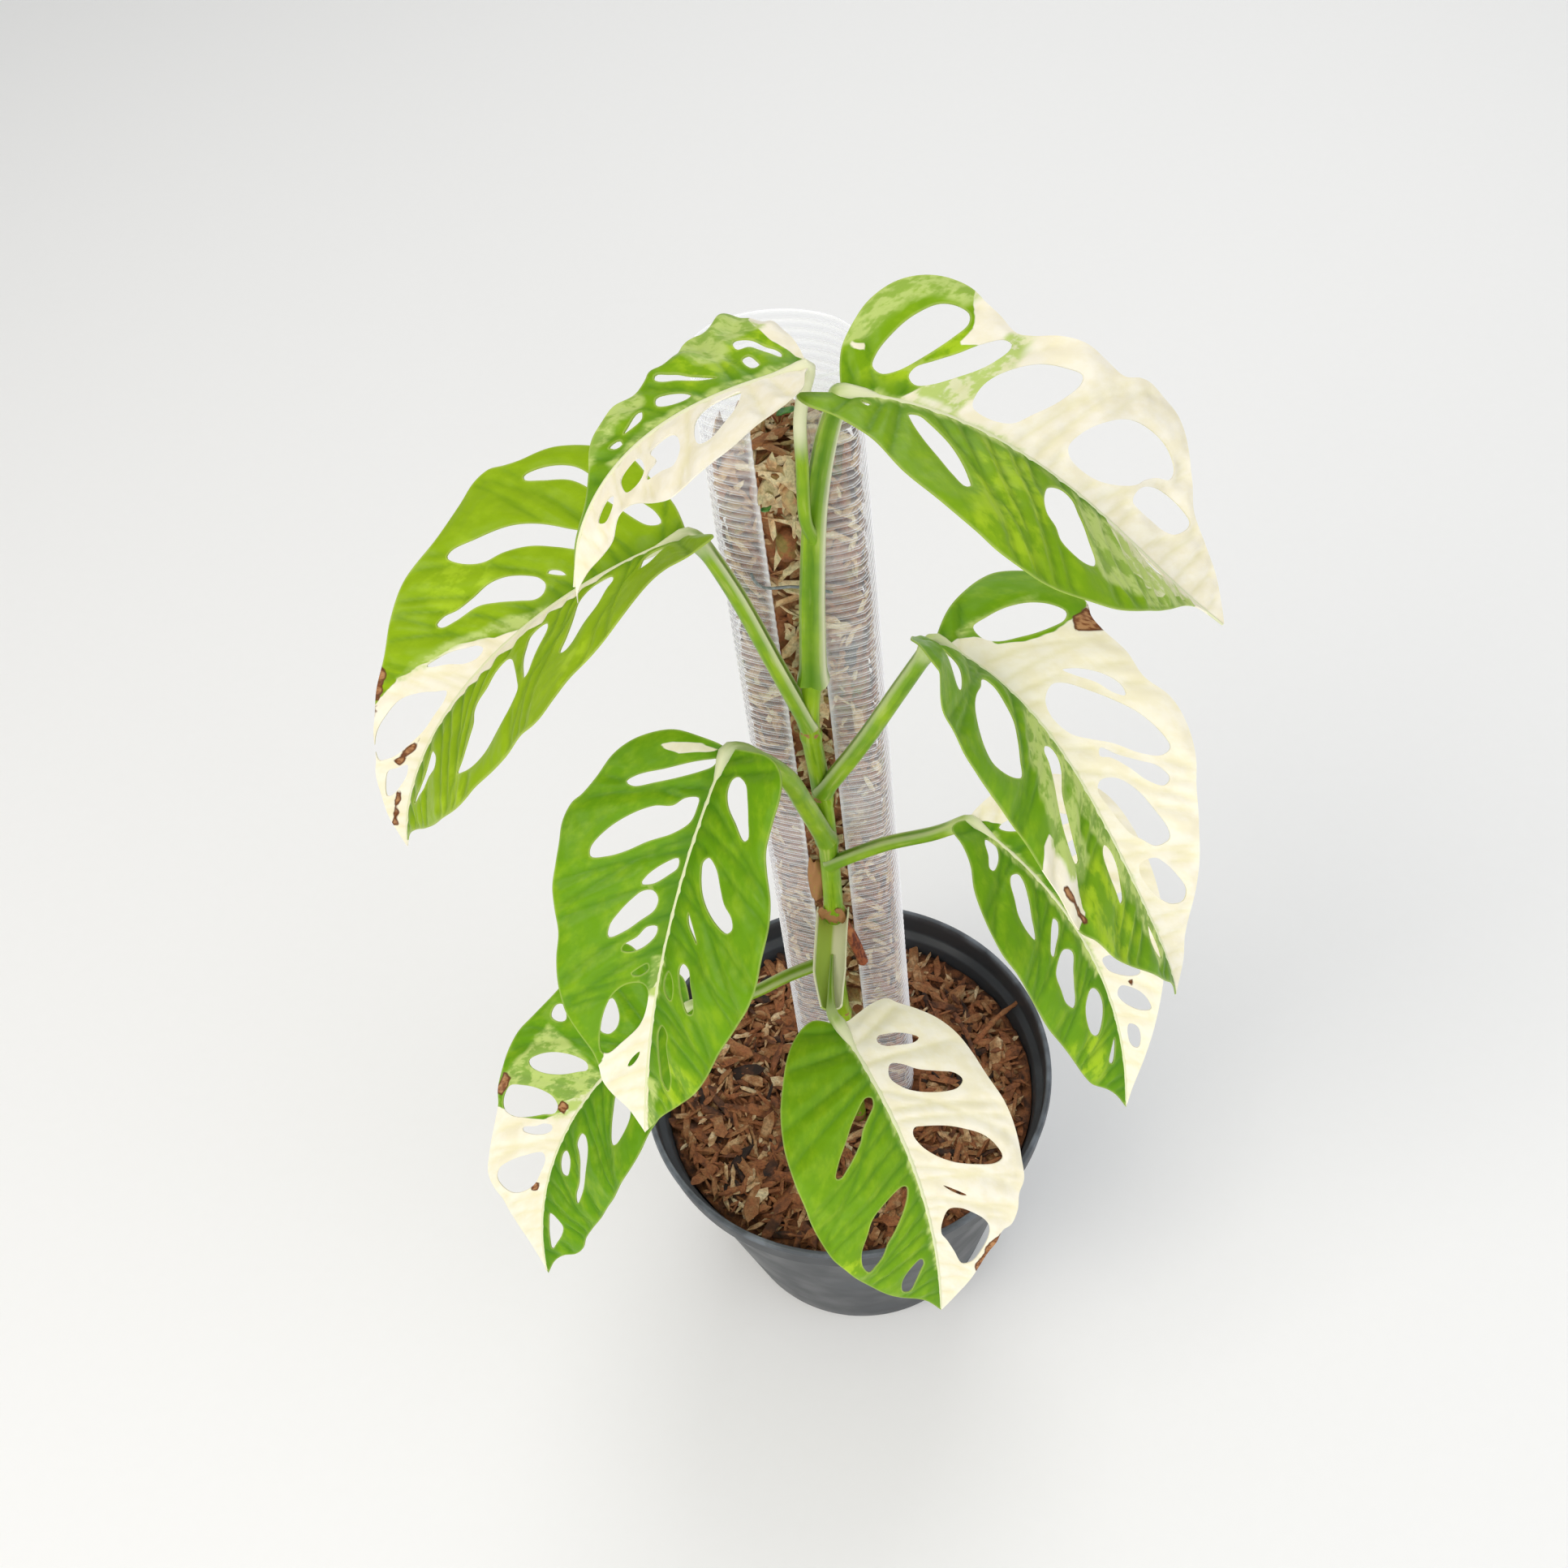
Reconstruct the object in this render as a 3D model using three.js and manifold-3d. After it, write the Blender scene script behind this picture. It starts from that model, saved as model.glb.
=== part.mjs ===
// A potted variegated adansons monstera, trained up a bark-filled plastic pole, with one solid for each
// piece. Sizes are in millimetres and +Z is up. The origin is the centre of the pot's bottom, and the pole's
// slot faces -Y.
import * as THREE from "three";
import { mergeVertices } from "three/addons/utils/BufferGeometryUtils.js";
import Module from "manifold-3d";

const wasm = await Module();
wasm.setup();

// Driving dimensions

const GAP = 0.3; // clearance between pieces that touch on the real plant

const POT = {
  height: 125,
  rimRadius: 90,
  baseRadius: 60,
  wall: 1.6,
  floor: 2.2,
  band: 13, // height of the smooth band under the lip
  bandStep: 3, // how far the band stands out from the wall below it
  panelRise: 1.4, // the ring with the drain holes is this far above the foot
  drainHoles: 6,
  drainRadius: 4.5,
  drainCircle: 45.5,
  segments: 36,
};

const MIX = {
  level: 106.5, // height of the bark's top between its chips
  chips: 64,
  chipReach: 67, // how far from the middle the chips lie
};

const POLE = {
  x: 4, // middle of the pole, across the slot
  slotHalf: 7.2, // half the width of the slot
  slotY: -4, // front edge of the flaps beside the slot
  foldHalf: 21.8, // half the width between the two front folds
  foldY: -0.9,
  backHalf: 24.3, // half the width where the round back starts
  backY: 13.5,
  backDepth: 16.5,
  sheet: 0.8,
  bottom: 30,
  top: 499,
  fillTop: 468,
  topChunks: 12,
  slotChunkPitch: 18,
};

const BLADE = {
  thickness: 0.8,
  rows: 20, // steps round the edge of each half
  columns: 2, // steps along a side vein
  footStep: 16, // longest step along the midrib
  fieldSteps: 3, // fewest edge steps between two side veins
  root: 0.15, // each half starts this far out from the middle of the midrib, inside it
  leans: [0.55, 0.4, 0.7, 0.25, 0.9], // how far forward a side vein may run for each millimetre out
  curl: -0.3, // degrees that the blade turns down for each millimetre out
  ripple: 1.3, // height of the waves at 40 mm from the midrib
  rippleLength: 52,
  bridge: 1.4, // blade left beside the midrib at a hole
};

// The stem zigzags a little from leaf to leaf. Its foot stands in a plain hole in the bark.
const STEM = {
  path: [
    [4, -9, 62],
    [4, -10, 107],
    [3, -10, 140],
    [3, -10, 176],
    [2.5, -10, 213],
    [5, -10, 253],
    [6, -10, 290],
    [6, -10, 330],
    [5, -10, 362],
    [8.5, -10.5, 390],
  ],
  footRadius: 4.3,
  tipRadius: 3.3,
  nodeHeights: [135, 185, 222, 298, 322, 356],
  nodeRise: 0.5,
  scarHeight: 255.5,
  scarRise: 1.2,
};

const ROOT = {
  path: [
    [6, -10, 252],
    [9.5, -10.4, 244],
    [12.2, -10.6, 234],
    [14.3, -10.8, 223],
  ],
  radius: 2.1,
};

const TIE = {
  path: [
    [-8.2, -4.3, 422.6],
    [-6.2, -4.8, 420.2],
    [-3.2, -5.3, 419.9],
    [4, -5.4, 420.6],
    [11.2, -5.3, 419.4],
    [16, -4.6, 417.4],
  ],
  radius: 0.5,
};

// Each leaf is its stalk's path and its blade. A blade starts at base, and its midrib is a curve whose
// heading (degrees from +X towards +Y) and droop (degrees below level) are given at the base, the middle and
// the tip. roll raises the blade's right side, at the base and at the tip. fold lifts the left and right
// halves from the midrib. An edge point is the distance along the midrib and the distance out from it. A
// hole runs from one such point to another, with its width given last. Left and right are as seen from
// above, looking at the tip.
const LEAVES = {
  leaf_top_left: {
    colour: 0x9dbb4a,
    stalk: [
      [14, -13.5, 448],
      [12.5, -17, 458],
      [13.5, -18, 480],
      [14.5, -19, 497],
      [16.5, -18.5, 507],
    ],
    stalkRadii: [2, 1.8],
    base: [18, -18, 514],
    heading: [-155, -147, -97],
    droop: [-1, 21, 61],
    roll: [-5, 1],
    fold: [8, 8],
    length: 94,
    left: {
      edge: [[0, 1], [9, 14], [20, 22], [38, 28], [50, 27], [62, 20], [67, 12], [75, 11], [84, 8], [94, 0]],
      holes: [[21, 4, 36, 17, 7.8], [41, 9, 53, 16, 11], [51, 5, 64, 8, 7], [65, 6, 75, 5, 2.8]],
    },
    right: {
      edge: [
        [0, 1], [0, 16], [5, 26], [11, 33], [18, 30], [27, 29], [33, 21], [47, 18], [56, 14], [66, 6],
        [78, 2], [94, 0],
      ],
      holes: [
        [5, 6, 16, 18, 4.5], [13, 6, 15, 11, 2.2], [24, 6, 38, 17, 3.3], [32, 5, 40, 10, 4],
        [45, 8, 52, 7, 2.7],
      ],
    },
  },
  leaf_top_right: {
    colour: 0x86a83c,
    stalk: [
      [8, -10.4, 384],
      [9, -11, 398],
      [11.5, -12, 428],
      [15.5, -13, 462],
      [21, -15, 488],
      [25.5, -19, 503],
    ],
    stalkRadii: [4.7, 2.6],
    base: [28, -25, 510],
    heading: [-6, -2, 5],
    droop: [0, 45, 47],
    roll: [-9, -12],
    fold: [27, 20],
    length: 139,
    left: {
      edge: [
        [-1, 2], [-2, 12], [1, 24], [8, 34], [18, 37], [28, 34], [38, 29], [49, 36], [62, 38], [69, 37],
        [78, 41], [92, 40], [101, 34], [107, 24], [121, 16], [139, 0],
      ],
      holes: [
        [7, 6, 26, 28, 9.6], [16, 6, 38, 25, 4.6], [34, 5, 59, 28, 10.5], [65, 7, 98, 26, 13.4],
        [90, 11, 111, 16, 7], [97, 2, 112, 3, 2.3],
      ],
    },
    right: {
      edge: [
        [-9, 3], [-3, 10], [12, 25], [23, 32], [44, 42], [56, 45], [69, 44], [87, 36], [109, 17], [126, 5],
        [139, 0],
      ],
      holes: [[19, 5, 37, 27, 8.8], [62, 8, 78, 26, 15], [4, 3, 9, 6, 2]],
    },
  },
  leaf_upper_left: {
    colour: 0x5f8c2f,
    stalk: [
      [5, -12, 363],
      [-3, -16, 397],
      [-12, -20, 434],
      [-19, -23, 455],
    ],
    stalkRadii: [3.2, 2.4],
    base: [-22, -24, 459],
    heading: [-174, -157, -147],
    droop: [21, 39, 78],
    roll: [-3, 17],
    fold: [22, 26],
    length: 156,
    left: {
      edge: [
        [-7, 6], [-12, 11], [-8, 17], [-2, 21], [12, 33], [24, 45], [42, 48], [60, 50], [84, 48],
        [115, 34], [130, 22], [146, 8], [156, 0],
      ],
      holes: [
        [6, 4, 13, 13, 6.3], [24, 7, 42, 32, 13.5], [50, 8, 59, 30, 8], [64, 14, 98, 32, 19.6],
        [109, 9, 129, 12, 5.7],
      ],
    },
    right: {
      edge: [
        [0, 1], [2, 11], [13, 35], [22, 44], [35, 51], [49, 53], [69, 44], [85, 40], [102, 28], [126, 16],
        [145, 6], [156, 0],
      ],
      holes: [
        [7, 8, 42, 44, 7.2], [27, 12, 70, 36, 8.7], [47, 6, 83, 20, 6.7], [75, 3, 94, 12, 3.8],
        [96, 5, 128, 10, 8], [126, 2, 142, 4, 3.6],
      ],
    },
  },
  leaf_right: {
    colour: 0x6f9636,
    stalk: [
      [7, -12, 329],
      [23, -19, 362],
      [38, -28, 398],
      [47, -34, 420],
    ],
    stalkRadii: [3.4, 2.6],
    base: [50, -35, 426],
    heading: [-10, -47, -3],
    droop: [21, 46, 82],
    roll: [20, -15],
    fold: [24, 26],
    length: 146,
    left: {
      edge: [
        [0, 1], [1, 13], [8, 36], [15, 44], [22, 44], [33, 37], [42, 36], [55, 37], [67, 36], [79, 32],
        [97, 23], [126, 7], [146, 0],
      ],
      holes: [
        [9, 10, 25, 33, 8.9], [34, 15, 49, 26, 3.3], [35, 6, 69, 27, 10], [57, 8, 76, 21, 4.1],
        [67, 4, 92, 15, 8], [93, 5, 109, 10, 6.6],
      ],
    },
    right: {
      edge: [
        [-3, 5], [-8, 20], [-8, 32], [-3, 44], [12, 52], [29, 50], [42, 45], [58, 40], [81, 34], [93, 32],
        [101, 28], [114, 20], [132, 8], [146, 0],
      ],
      holes: [
        [1, 14, 13, 35, 6.6], [18, 12, 48, 29, 18], [47, 6, 78, 21, 7.4], [81, 5, 98, 10, 5.1],
        [111, 3, 124, 4, 3.2],
      ],
    },
  },
  leaf_middle_left: {
    colour: 0x4d7f2a,
    stalk: [
      [6, -13, 303],
      [2, -24, 336],
      [-1, -36, 365],
      [-8, -43, 382],
    ],
    stalkRadii: [3.6, 2.8],
    base: [-16, -45, 387],
    heading: [-115, -112, -108],
    droop: [30, 52, 71],
    roll: [-1, 3],
    fold: [23, 23],
    length: 136,
    left: {
      edge: [
        [-1, 2], [-2, 15], [0, 24], [8, 29], [22, 29], [32, 34], [51, 39], [64, 40], [77, 36], [101, 26],
        [115, 17], [136, 0],
      ],
      holes: [
        [7, 7, 25, 21, 6.3], [33, 8, 52, 26, 6.5], [69, 8, 83, 17, 5.3], [73, 3, 82, 6, 2.6],
        [92, 4, 114, 10, 4.9],
      ],
    },
    right: {
      edge: [
        [-1, 2], [-1, 9], [0, 20], [5, 28], [12, 33], [25, 38], [38, 43], [56, 40], [70, 36], [92, 31],
        [105, 24], [123, 9], [136, 0],
      ],
      holes: [
        [3, 3, 20, 26, 3.8], [18, 4, 44, 31, 8.5], [37, 3, 48, 12, 4.1], [48, 8, 68, 18, 8.2],
        [61, 4, 72, 12, 4], [81, 7, 106, 15, 9.6],
      ],
    },
  },
  leaf_lower_right: {
    colour: 0x5d8c30,
    stalk: [
      [6, -12, 287],
      [28, -18, 307],
      [46, -24, 321],
      [54, -27, 329],
    ],
    stalkRadii: [2.7, 2.2],
    base: [59, -28, 333],
    heading: [-25, -46, -86],
    droop: [25, 49, 70],
    roll: [0, 0],
    fold: [20, 20],
    length: 124,
    left: {
      edge: [
        [-1, 2], [0, 9], [3, 18], [13, 32], [25, 39], [32, 40], [48, 35], [71, 25], [93, 13], [115, 3],
        [124, 0],
      ],
      holes: [
        [9, 4, 25, 24, 5.3], [29, 6, 34, 30, 4.5], [51, 4, 53, 23, 4.1], [68, 3, 77, 13, 4.4],
        [78, 4, 89, 11, 4.6],
      ],
    },
    right: {
      edge: [
        [-2, 2], [-4, 9], [14, 25], [25, 32], [39, 33], [56, 33], [73, 30], [91, 23], [108, 15], [118, 6],
        [124, 0],
      ],
      holes: [
        [8, 3, 16, 13, 4.8], [23, 6, 42, 19, 7.4], [44, 5, 54, 16, 3.2], [55, 8, 74, 17, 8],
        [74, 6, 90, 12, 7],
      ],
    },
  },
  leaf_lower_left: {
    colour: 0x5b8a30,
    stalk: [
      [2.8, -10.5, 223.5],
      [-3.5, -15, 226],
      [-14, -25, 232],
      [-24, -37, 239],
      [-35, -49, 248],
    ],
    stalkRadii: [2.7, 2.2],
    base: [-45, -55, 255],
    heading: [-153, -135, -82],
    droop: [20, 46, 67],
    roll: [8, 4],
    fold: [15, 19],
    length: 136,
    left: {
      edge: [
        [-2, 3], [-3, 14], [5, 23], [15, 29], [25, 32], [41, 36], [66, 36], [96, 28], [119, 18], [136, 0],
      ],
      holes: [[36, 9, 56, 23, 10], [66, 10, 95, 18, 4.6], [78, 4, 88, 8, 4.4], [108, 4, 125, 6, 4.2]],
    },
    right: {
      edge: [
        [-1, 2], [-3, 11], [5, 23], [9, 34], [19, 38], [43, 36], [61, 37], [71, 32], [83, 27], [95, 25],
        [109, 12], [136, 0],
      ],
      holes: [
        [32, 26, 43, 33, 5], [24, 10, 33, 20, 10], [45, 8, 59, 26, 6.8], [65, 9, 75, 25, 9],
        [84, 7, 102, 17, 9],
      ],
    },
  },
  leaf_front: {
    colour: 0xb6c47a,
    stalk: [
      [5.2, -26, 252],
      [6, -44, 250.5],
      [7.5, -53, 249.5],
    ],
    stalkRadii: [3, 2.6],
    base: [10, -56, 248],
    heading: [-53, -59, -90],
    droop: [19, 58, 77],
    roll: [-3, 11],
    fold: [6, 8],
    length: 132,
    left: {
      edge: [
        [0, 2], [0, 16], [10, 26], [23, 35], [41, 39], [61, 43], [79, 41], [98, 33], [103, 25], [112, 17],
        [122, 10], [132, 0],
      ],
      holes: [[12, 9, 20, 23, 3.2], [23, 8, 42, 30, 7.6], [48, 6, 74, 34, 10], [87, 9, 109, 17, 11]],
    },
    right: {
      edge: [
        [-1, 2], [-5, 7], [-3, 17], [6, 28], [18, 36], [32, 41], [48, 44], [68, 43], [90, 38], [106, 30],
        [123, 13], [132, 0],
      ],
      holes: [[29, 5, 49, 29, 6.1], [66, 7, 96, 27, 11.6], [103, 7, 117, 13, 6.1]],
    },
  },
};

// The front leaf's stalk opens at its foot into a broad channel that clasps the stem.
const SHEATH = {
  path: [
    [4.8, -9, 253.5],
    [5, -22, 253],
    [5.6, -38, 251],
    [7, -50, 249.5],
  ],
  radii: [6.2, 6.2, 6.3, 5],
  section: [
    [1, 0.45],
    [0.8, 0.45],
    [0.68, -0.05],
    [0.35, -0.3],
    [-0.35, -0.3],
    [-0.68, -0.05],
    [-0.8, 0.45],
    [-1, 0.45],
    [-0.95, -0.2],
    [-0.55, -0.6],
    [0.55, -0.6],
    [0.95, -0.2],
  ],
  side: [-1, 0, 0],
};

// Small tools

const radians = THREE.MathUtils.degToRad;
const lerp = THREE.MathUtils.lerp;
const clamp = THREE.MathUtils.clamp;
const vector = ([x, y, z]) => new THREE.Vector3(x, y, z);
const TURN = 2 * Math.PI;

// A repeatable source of numbers from 0 to 1.
function drawsFrom(seed) {
  let state = seed;
  return () => {
    state = (state + 0x6d2b79f5) | 0;
    let mixed = Math.imul(state ^ (state >>> 15), 1 | state);
    mixed = (mixed + Math.imul(mixed ^ (mixed >>> 7), 61 | mixed)) ^ mixed;
    return ((mixed ^ (mixed >>> 14)) >>> 0) / 4294967296;
  };
}

function cornersOf(geometry) {
  geometry.deleteAttribute("normal");
  geometry.deleteAttribute("uv");
  return mergeVertices(geometry, 1e-4);
}

// A closed geometry as a solid whose faces point out, without the faces that have collapsed to a line.
function solidOf(geometry) {
  const merged = cornersOf(geometry);
  const points = merged.attributes.position.array;
  const index = merged.index.array;
  const faces = [];
  let volume = 0;
  const corner = (i) => new THREE.Vector3().fromArray(points, 3 * i);
  for (let i = 0; i < index.length; i += 3) {
    const [a, b, c] = [index[i], index[i + 1], index[i + 2]];
    if (a === b || b === c || c === a) continue;
    faces.push(a, b, c);
    volume += corner(a).dot(corner(b).cross(corner(c)));
  }
  if (volume < 0) faces.reverse();
  const triVerts = new Uint32Array(faces);
  return new wasm.Manifold(new wasm.Mesh({ numProp: 3, vertProperties: points, triVerts }));
}

function geometryOf(solid) {
  const made = solid.getMesh();
  const geometry = new THREE.BufferGeometry();
  geometry.setAttribute("position", new THREE.BufferAttribute(new Float32Array(made.vertProperties), 3));
  geometry.setIndex(new THREE.BufferAttribute(new Uint32Array(made.triVerts), 1));
  geometry.computeVertexNormals();
  return geometry;
}

const joined = (solids) => solids.reduce((whole, next) => whole.add(next));

// The largest body of a solid, without the loose scraps that cutting leaves.
function mainBody(solid) {
  return solid.decompose().reduce((best, next) => (next.volume() > best.volume() ? next : best));
}

function meshGeometry(points, faces) {
  const geometry = new THREE.BufferGeometry();
  const values = points.flatMap((p) => p.toArray());
  geometry.setAttribute("position", new THREE.Float32BufferAttribute(values, 3));
  geometry.setIndex(faces);
  return geometry;
}

const roundSection = (sides) =>
  Array.from({ length: sides }, (_, i) => [Math.cos((TURN * i) / sides), Math.sin((TURN * i) / sides)]);

// A rod with flat ends along a smooth curve through the points. The radius is given at each point, and the
// section is in units of it: first towards side, then square to side and to the path.
function rod(points, radii, { side = [1, 0, 0], section = roundSection(8), step = 9, grow = 0 } = {}) {
  const curve = new THREE.CatmullRomCurve3(points.map(vector), false, "centripetal");
  const last = points.length - 1;
  const stations = [0];
  for (let i = 0; i < last; i++) {
    const pieces = Math.max(1, Math.round(vector(points[i]).distanceTo(vector(points[i + 1])) / step));
    for (let j = 1; j <= pieces; j++) stations.push(i + j / pieces);
  }
  const rings = [];
  for (const station of stations) {
    const centre = curve.getPoint(station / last);
    const tangent = curve.getTangent(station / last);
    const across = vector(side).projectOnPlane(tangent).normalize();
    const up = across.clone().cross(tangent);
    const before = Math.min(last - 1, Math.floor(station));
    const radius = lerp(radii[before], radii[before + 1], station - before) + grow;
    for (const [x, y] of section)
      rings.push(centre.clone().addScaledVector(across, radius * x).addScaledVector(up, radius * y));
  }
  const sides = section.length;
  const faces = [];
  for (let i = 0; i + 1 < stations.length; i++)
    for (let j = 0; j < sides; j++) {
      const [a, b] = [i * sides + j, i * sides + ((j + 1) % sides)];
      faces.push(a, b, b + sides, a, b + sides, a + sides);
    }
  const ends = THREE.ShapeUtils.triangulateShape(section.map(([x, y]) => new THREE.Vector2(x, y)), []);
  const far = (stations.length - 1) * sides;
  for (const [a, b, c] of ends) faces.push(c, b, a, far + a, far + b, far + c);
  return solidOf(meshGeometry(rings, faces));
}

// A straight upright prism over a closed outline.
function prism(outline, bottom, top) {
  const shape = new THREE.Shape(outline.map(([x, y]) => new THREE.Vector2(x, y)));
  const geometry = new THREE.ExtrudeGeometry(shape, { depth: top - bottom, bevelEnabled: false });
  return solidOf(geometry.translate(0, 0, bottom));
}

function turned(profile, segments) {
  const geometry = new THREE.LatheGeometry(profile.map(([r, z]) => new THREE.Vector2(r, z)), segments);
  return geometry.rotateX(Math.PI / 2);
}

// Pot

const wallTop = POT.height - POT.band;
const wallTopRadius = POT.rimRadius - 2.4 - POT.bandStep;

// Outer radius of the tapered wall at a height.
const wallRadius = (z) => lerp(POT.baseRadius, wallTopRadius, z / wallTop);

function potSolid() {
  const { height, rimRadius, baseRadius, wall, floor, panelRise, segments } = POT;
  const bandRadius = rimRadius - 1.8;
  const inside = (z) => wallRadius(z) - wall;
  const profile = [
    [0, 0],
    [37, 0],
    [38.5, panelRise],
    [52, panelRise],
    [53.5, 0],
    [baseRadius, 0],
    [wallRadius(wallTop - 1.5), wallTop - 1.5],
    [bandRadius, wallTop],
    [bandRadius + 0.4, height - 3.4],
    [rimRadius, height - 2.8],
    [rimRadius - 0.6, height],
    [rimRadius - 2.6, height],
    [rimRadius - 3.6, wallTop + 1.6],
    [inside(wallTop - 1), wallTop - 1],
    [inside(floor), floor],
    [53, floor],
    [51.5, floor + panelRise],
    [39, floor + panelRise],
    [37.5, floor],
    [0, floor],
  ];
  let pot = solidOf(turned(profile, segments));
  for (let i = 0; i < POT.drainHoles; i++) {
    const turn = (TURN * (i + 0.5)) / POT.drainHoles;
    const drain = roundSection(8).map(([x, y]) => [
      POT.drainCircle * Math.cos(turn) + POT.drainRadius * x,
      POT.drainCircle * Math.sin(turn) + POT.drainRadius * y,
    ]);
    pot = pot.subtract(prism(drain, -1, 6));
  }
  return pot;
}

// Pole

// Middle line of the sheet, moved inwards by inset: the right flap, the right side, the round back, the left
// side and the left flap.
function sheetLine(inset) {
  const { x, slotHalf, slotY, foldHalf, foldY, backHalf, backY, backDepth } = POLE;
  const right = [
    [slotHalf, slotY + inset],
    [foldHalf - inset, foldY + inset],
  ];
  const backSteps = 12;
  for (let i = 0; i <= backSteps; i++) {
    const turn = (Math.PI * i) / backSteps;
    right.push([(backHalf - inset) * Math.cos(turn), backY + (backDepth - inset) * Math.sin(turn)]);
  }
  const left = [
    [inset - foldHalf, foldY + inset],
    [-slotHalf, slotY + inset],
  ];
  return [...right, ...left].map(([across, y]) => [x + across, y]);
}

function sleeveSolid() {
  const half = POLE.sheet / 2;
  return prism([...sheetLine(-half), ...sheetLine(half).reverse()], POLE.bottom, POLE.top);
}

const CHUNK_JITTER = 0.3; // how far a chunk's corners move, as a share of its size

// A chunk of bark: a box with its corners moved about, turned and put in its place.
function chunk(draw, size, place, turn) {
  const corners = cornersOf(new THREE.BoxGeometry(...size));
  const points = corners.attributes.position;
  for (let i = 0; i < points.count; i++) {
    const corner = [points.getX(i), points.getY(i), points.getZ(i)];
    points.setXYZ(i, ...corner.map((v, k) => v + size[k] * CHUNK_JITTER * (draw() - 0.5)));
  }
  const placed = new THREE.Matrix4().makeRotationFromEuler(new THREE.Euler(...turn)).setPosition(...place);
  return solidOf(corners.applyMatrix4(placed));
}

// The packed bark: a core inside the sheet, with chunks that stand out of its top and into the slot.
function fillSolid() {
  const inset = POLE.sheet / 2 + GAP + 0.4;
  const draw = drawsFrom(11);
  const line = sheetLine(inset);
  const bed = POLE.slotY + inset;
  const parts = [prism(line, POLE.bottom + 2, POLE.fillTop)];
  const tilt = () => draw() - 0.5;
  for (let i = 0; i < POLE.topChunks; i++) {
    const turn = TURN * draw();
    const reach = 18 * Math.sqrt(draw());
    const [across, back] = [reach * Math.cos(turn), 0.6 * reach * Math.sin(turn)];
    const place = [POLE.x + across, 12 + back, POLE.fillTop + 2 * draw()];
    const size = [8 + 8 * draw(), 5 + 5 * draw(), 4 + 4 * draw()];
    parts.push(chunk(draw, size, place, [tilt(), tilt(), 3 * draw()]));
  }
  for (let z = MIX.level + 12; z < POLE.fillTop - 4; z += POLE.slotChunkPitch) {
    const place = [POLE.x + 5 * tilt(), bed + 0.6, z + 3 * draw()];
    const size = [7 + 5 * draw(), 3, 6 + 5 * draw()];
    parts.push(chunk(draw, size, place, [0.3 * draw(), 0, 1.2 * tilt()]));
  }
  const mouthHalf = POLE.slotHalf - 0.7;
  const mouth = [
    [POLE.x - mouthHalf, bed + 1],
    [POLE.x - mouthHalf, POLE.slotY - 0.3],
    [POLE.x + mouthHalf, POLE.slotY - 0.3],
    [POLE.x + mouthHalf, bed + 1],
  ];
  const room = prism(line, POLE.bottom, POLE.top).add(prism(mouth, POLE.bottom, POLE.top));
  return mainBody(joined(parts).intersect(room));
}

// Stem, root and tie

// The stem's points with their radii. It swells a little at each node and more at the scar ring.
function stemStations() {
  const radii = STEM.path.map((_, i) => lerp(STEM.footRadius, STEM.tipRadius, i / (STEM.path.length - 1)));
  const stations = STEM.path.map((point, i) => ({ point, radius: radii[i] }));
  const rings = [...STEM.nodeHeights.map((z) => [z, STEM.nodeRise]), [STEM.scarHeight, STEM.scarRise]];
  for (const [middle, rise] of rings)
    for (const [offset, swell] of [[-2.6, 0], [-0.8, rise], [0.8, rise], [2.6, 0]]) {
      const z = middle + offset;
      const after = STEM.path.findIndex((p) => p[2] > z);
      const [low, high] = [STEM.path[after - 1], STEM.path[after]];
      const share = (z - low[2]) / (high[2] - low[2]);
      const radius = lerp(radii[after - 1], radii[after], share) + swell;
      stations.push({ point: [lerp(low[0], high[0], share), lerp(low[1], high[1], share), z], radius });
    }
  const besideRing = (away) => away > 2.7 && away < 3.6;
  const crowded = ({ point: [, , z] }) => rings.some(([ring]) => besideRing(Math.abs(z - ring)));
  return stations.filter((station) => !crowded(station)).sort((a, b) => a.point[2] - b.point[2]);
}

function stemSolid(grow) {
  const stations = stemStations();
  return rod(stations.map((s) => s.point), stations.map((s) => s.radius), { grow, step: 40 });
}

const alongAll = (amount, path) => path.map(() => amount);

const rootSolid = (grow) => rod(ROOT.path, alongAll(ROOT.radius, ROOT.path), { grow, step: 6 });
const tieSolid = () =>
  rod(TIE.path, alongAll(TIE.radius, TIE.path), { side: [0, 0, 1], section: roundSection(6), step: 4 });

// Blades

// A value that runs smoothly through its amounts at the base, the middle and the tip, for t from 0 to 1.
function runThrough([base, middle, tip], t) {
  return base * (1 - t) * (1 - 2 * t) + 4 * middle * t * (1 - t) + tip * t * (2 * t - 1);
}

// The blade's own directions at a distance along its midrib: forward, to the right and up.
function bladeAxes(plan, along) {
  const t = clamp(along / plan.length, 0, 1);
  const heading = radians(runThrough(plan.heading, t));
  const droop = radians(runThrough(plan.droop, t));
  const roll = radians(lerp(plan.roll[0], plan.roll[1], t));
  const forward = new THREE.Vector3(
    Math.cos(droop) * Math.cos(heading),
    Math.cos(droop) * Math.sin(heading),
    -Math.sin(droop),
  );
  const level = new THREE.Vector3(Math.sin(heading), -Math.cos(heading), 0);
  const right = level.clone().applyAxisAngle(forward, -roll);
  return { forward, right, up: right.clone().cross(forward) };
}

// The midrib as a function of the distance along it. It runs on straight past its ends.
function midribOf(plan) {
  const steps = 60;
  const stride = plan.length / steps;
  const points = [vector(plan.base)];
  for (let i = 0; i < steps; i++)
    points.push(points[i].clone().addScaledVector(bladeAxes(plan, (i + 0.5) * stride).forward, stride));
  return (along) => {
    const i = clamp(Math.floor(along / stride), 0, steps - 1);
    return points[i].clone().lerp(points[i + 1], along / stride - i);
  };
}

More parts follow.
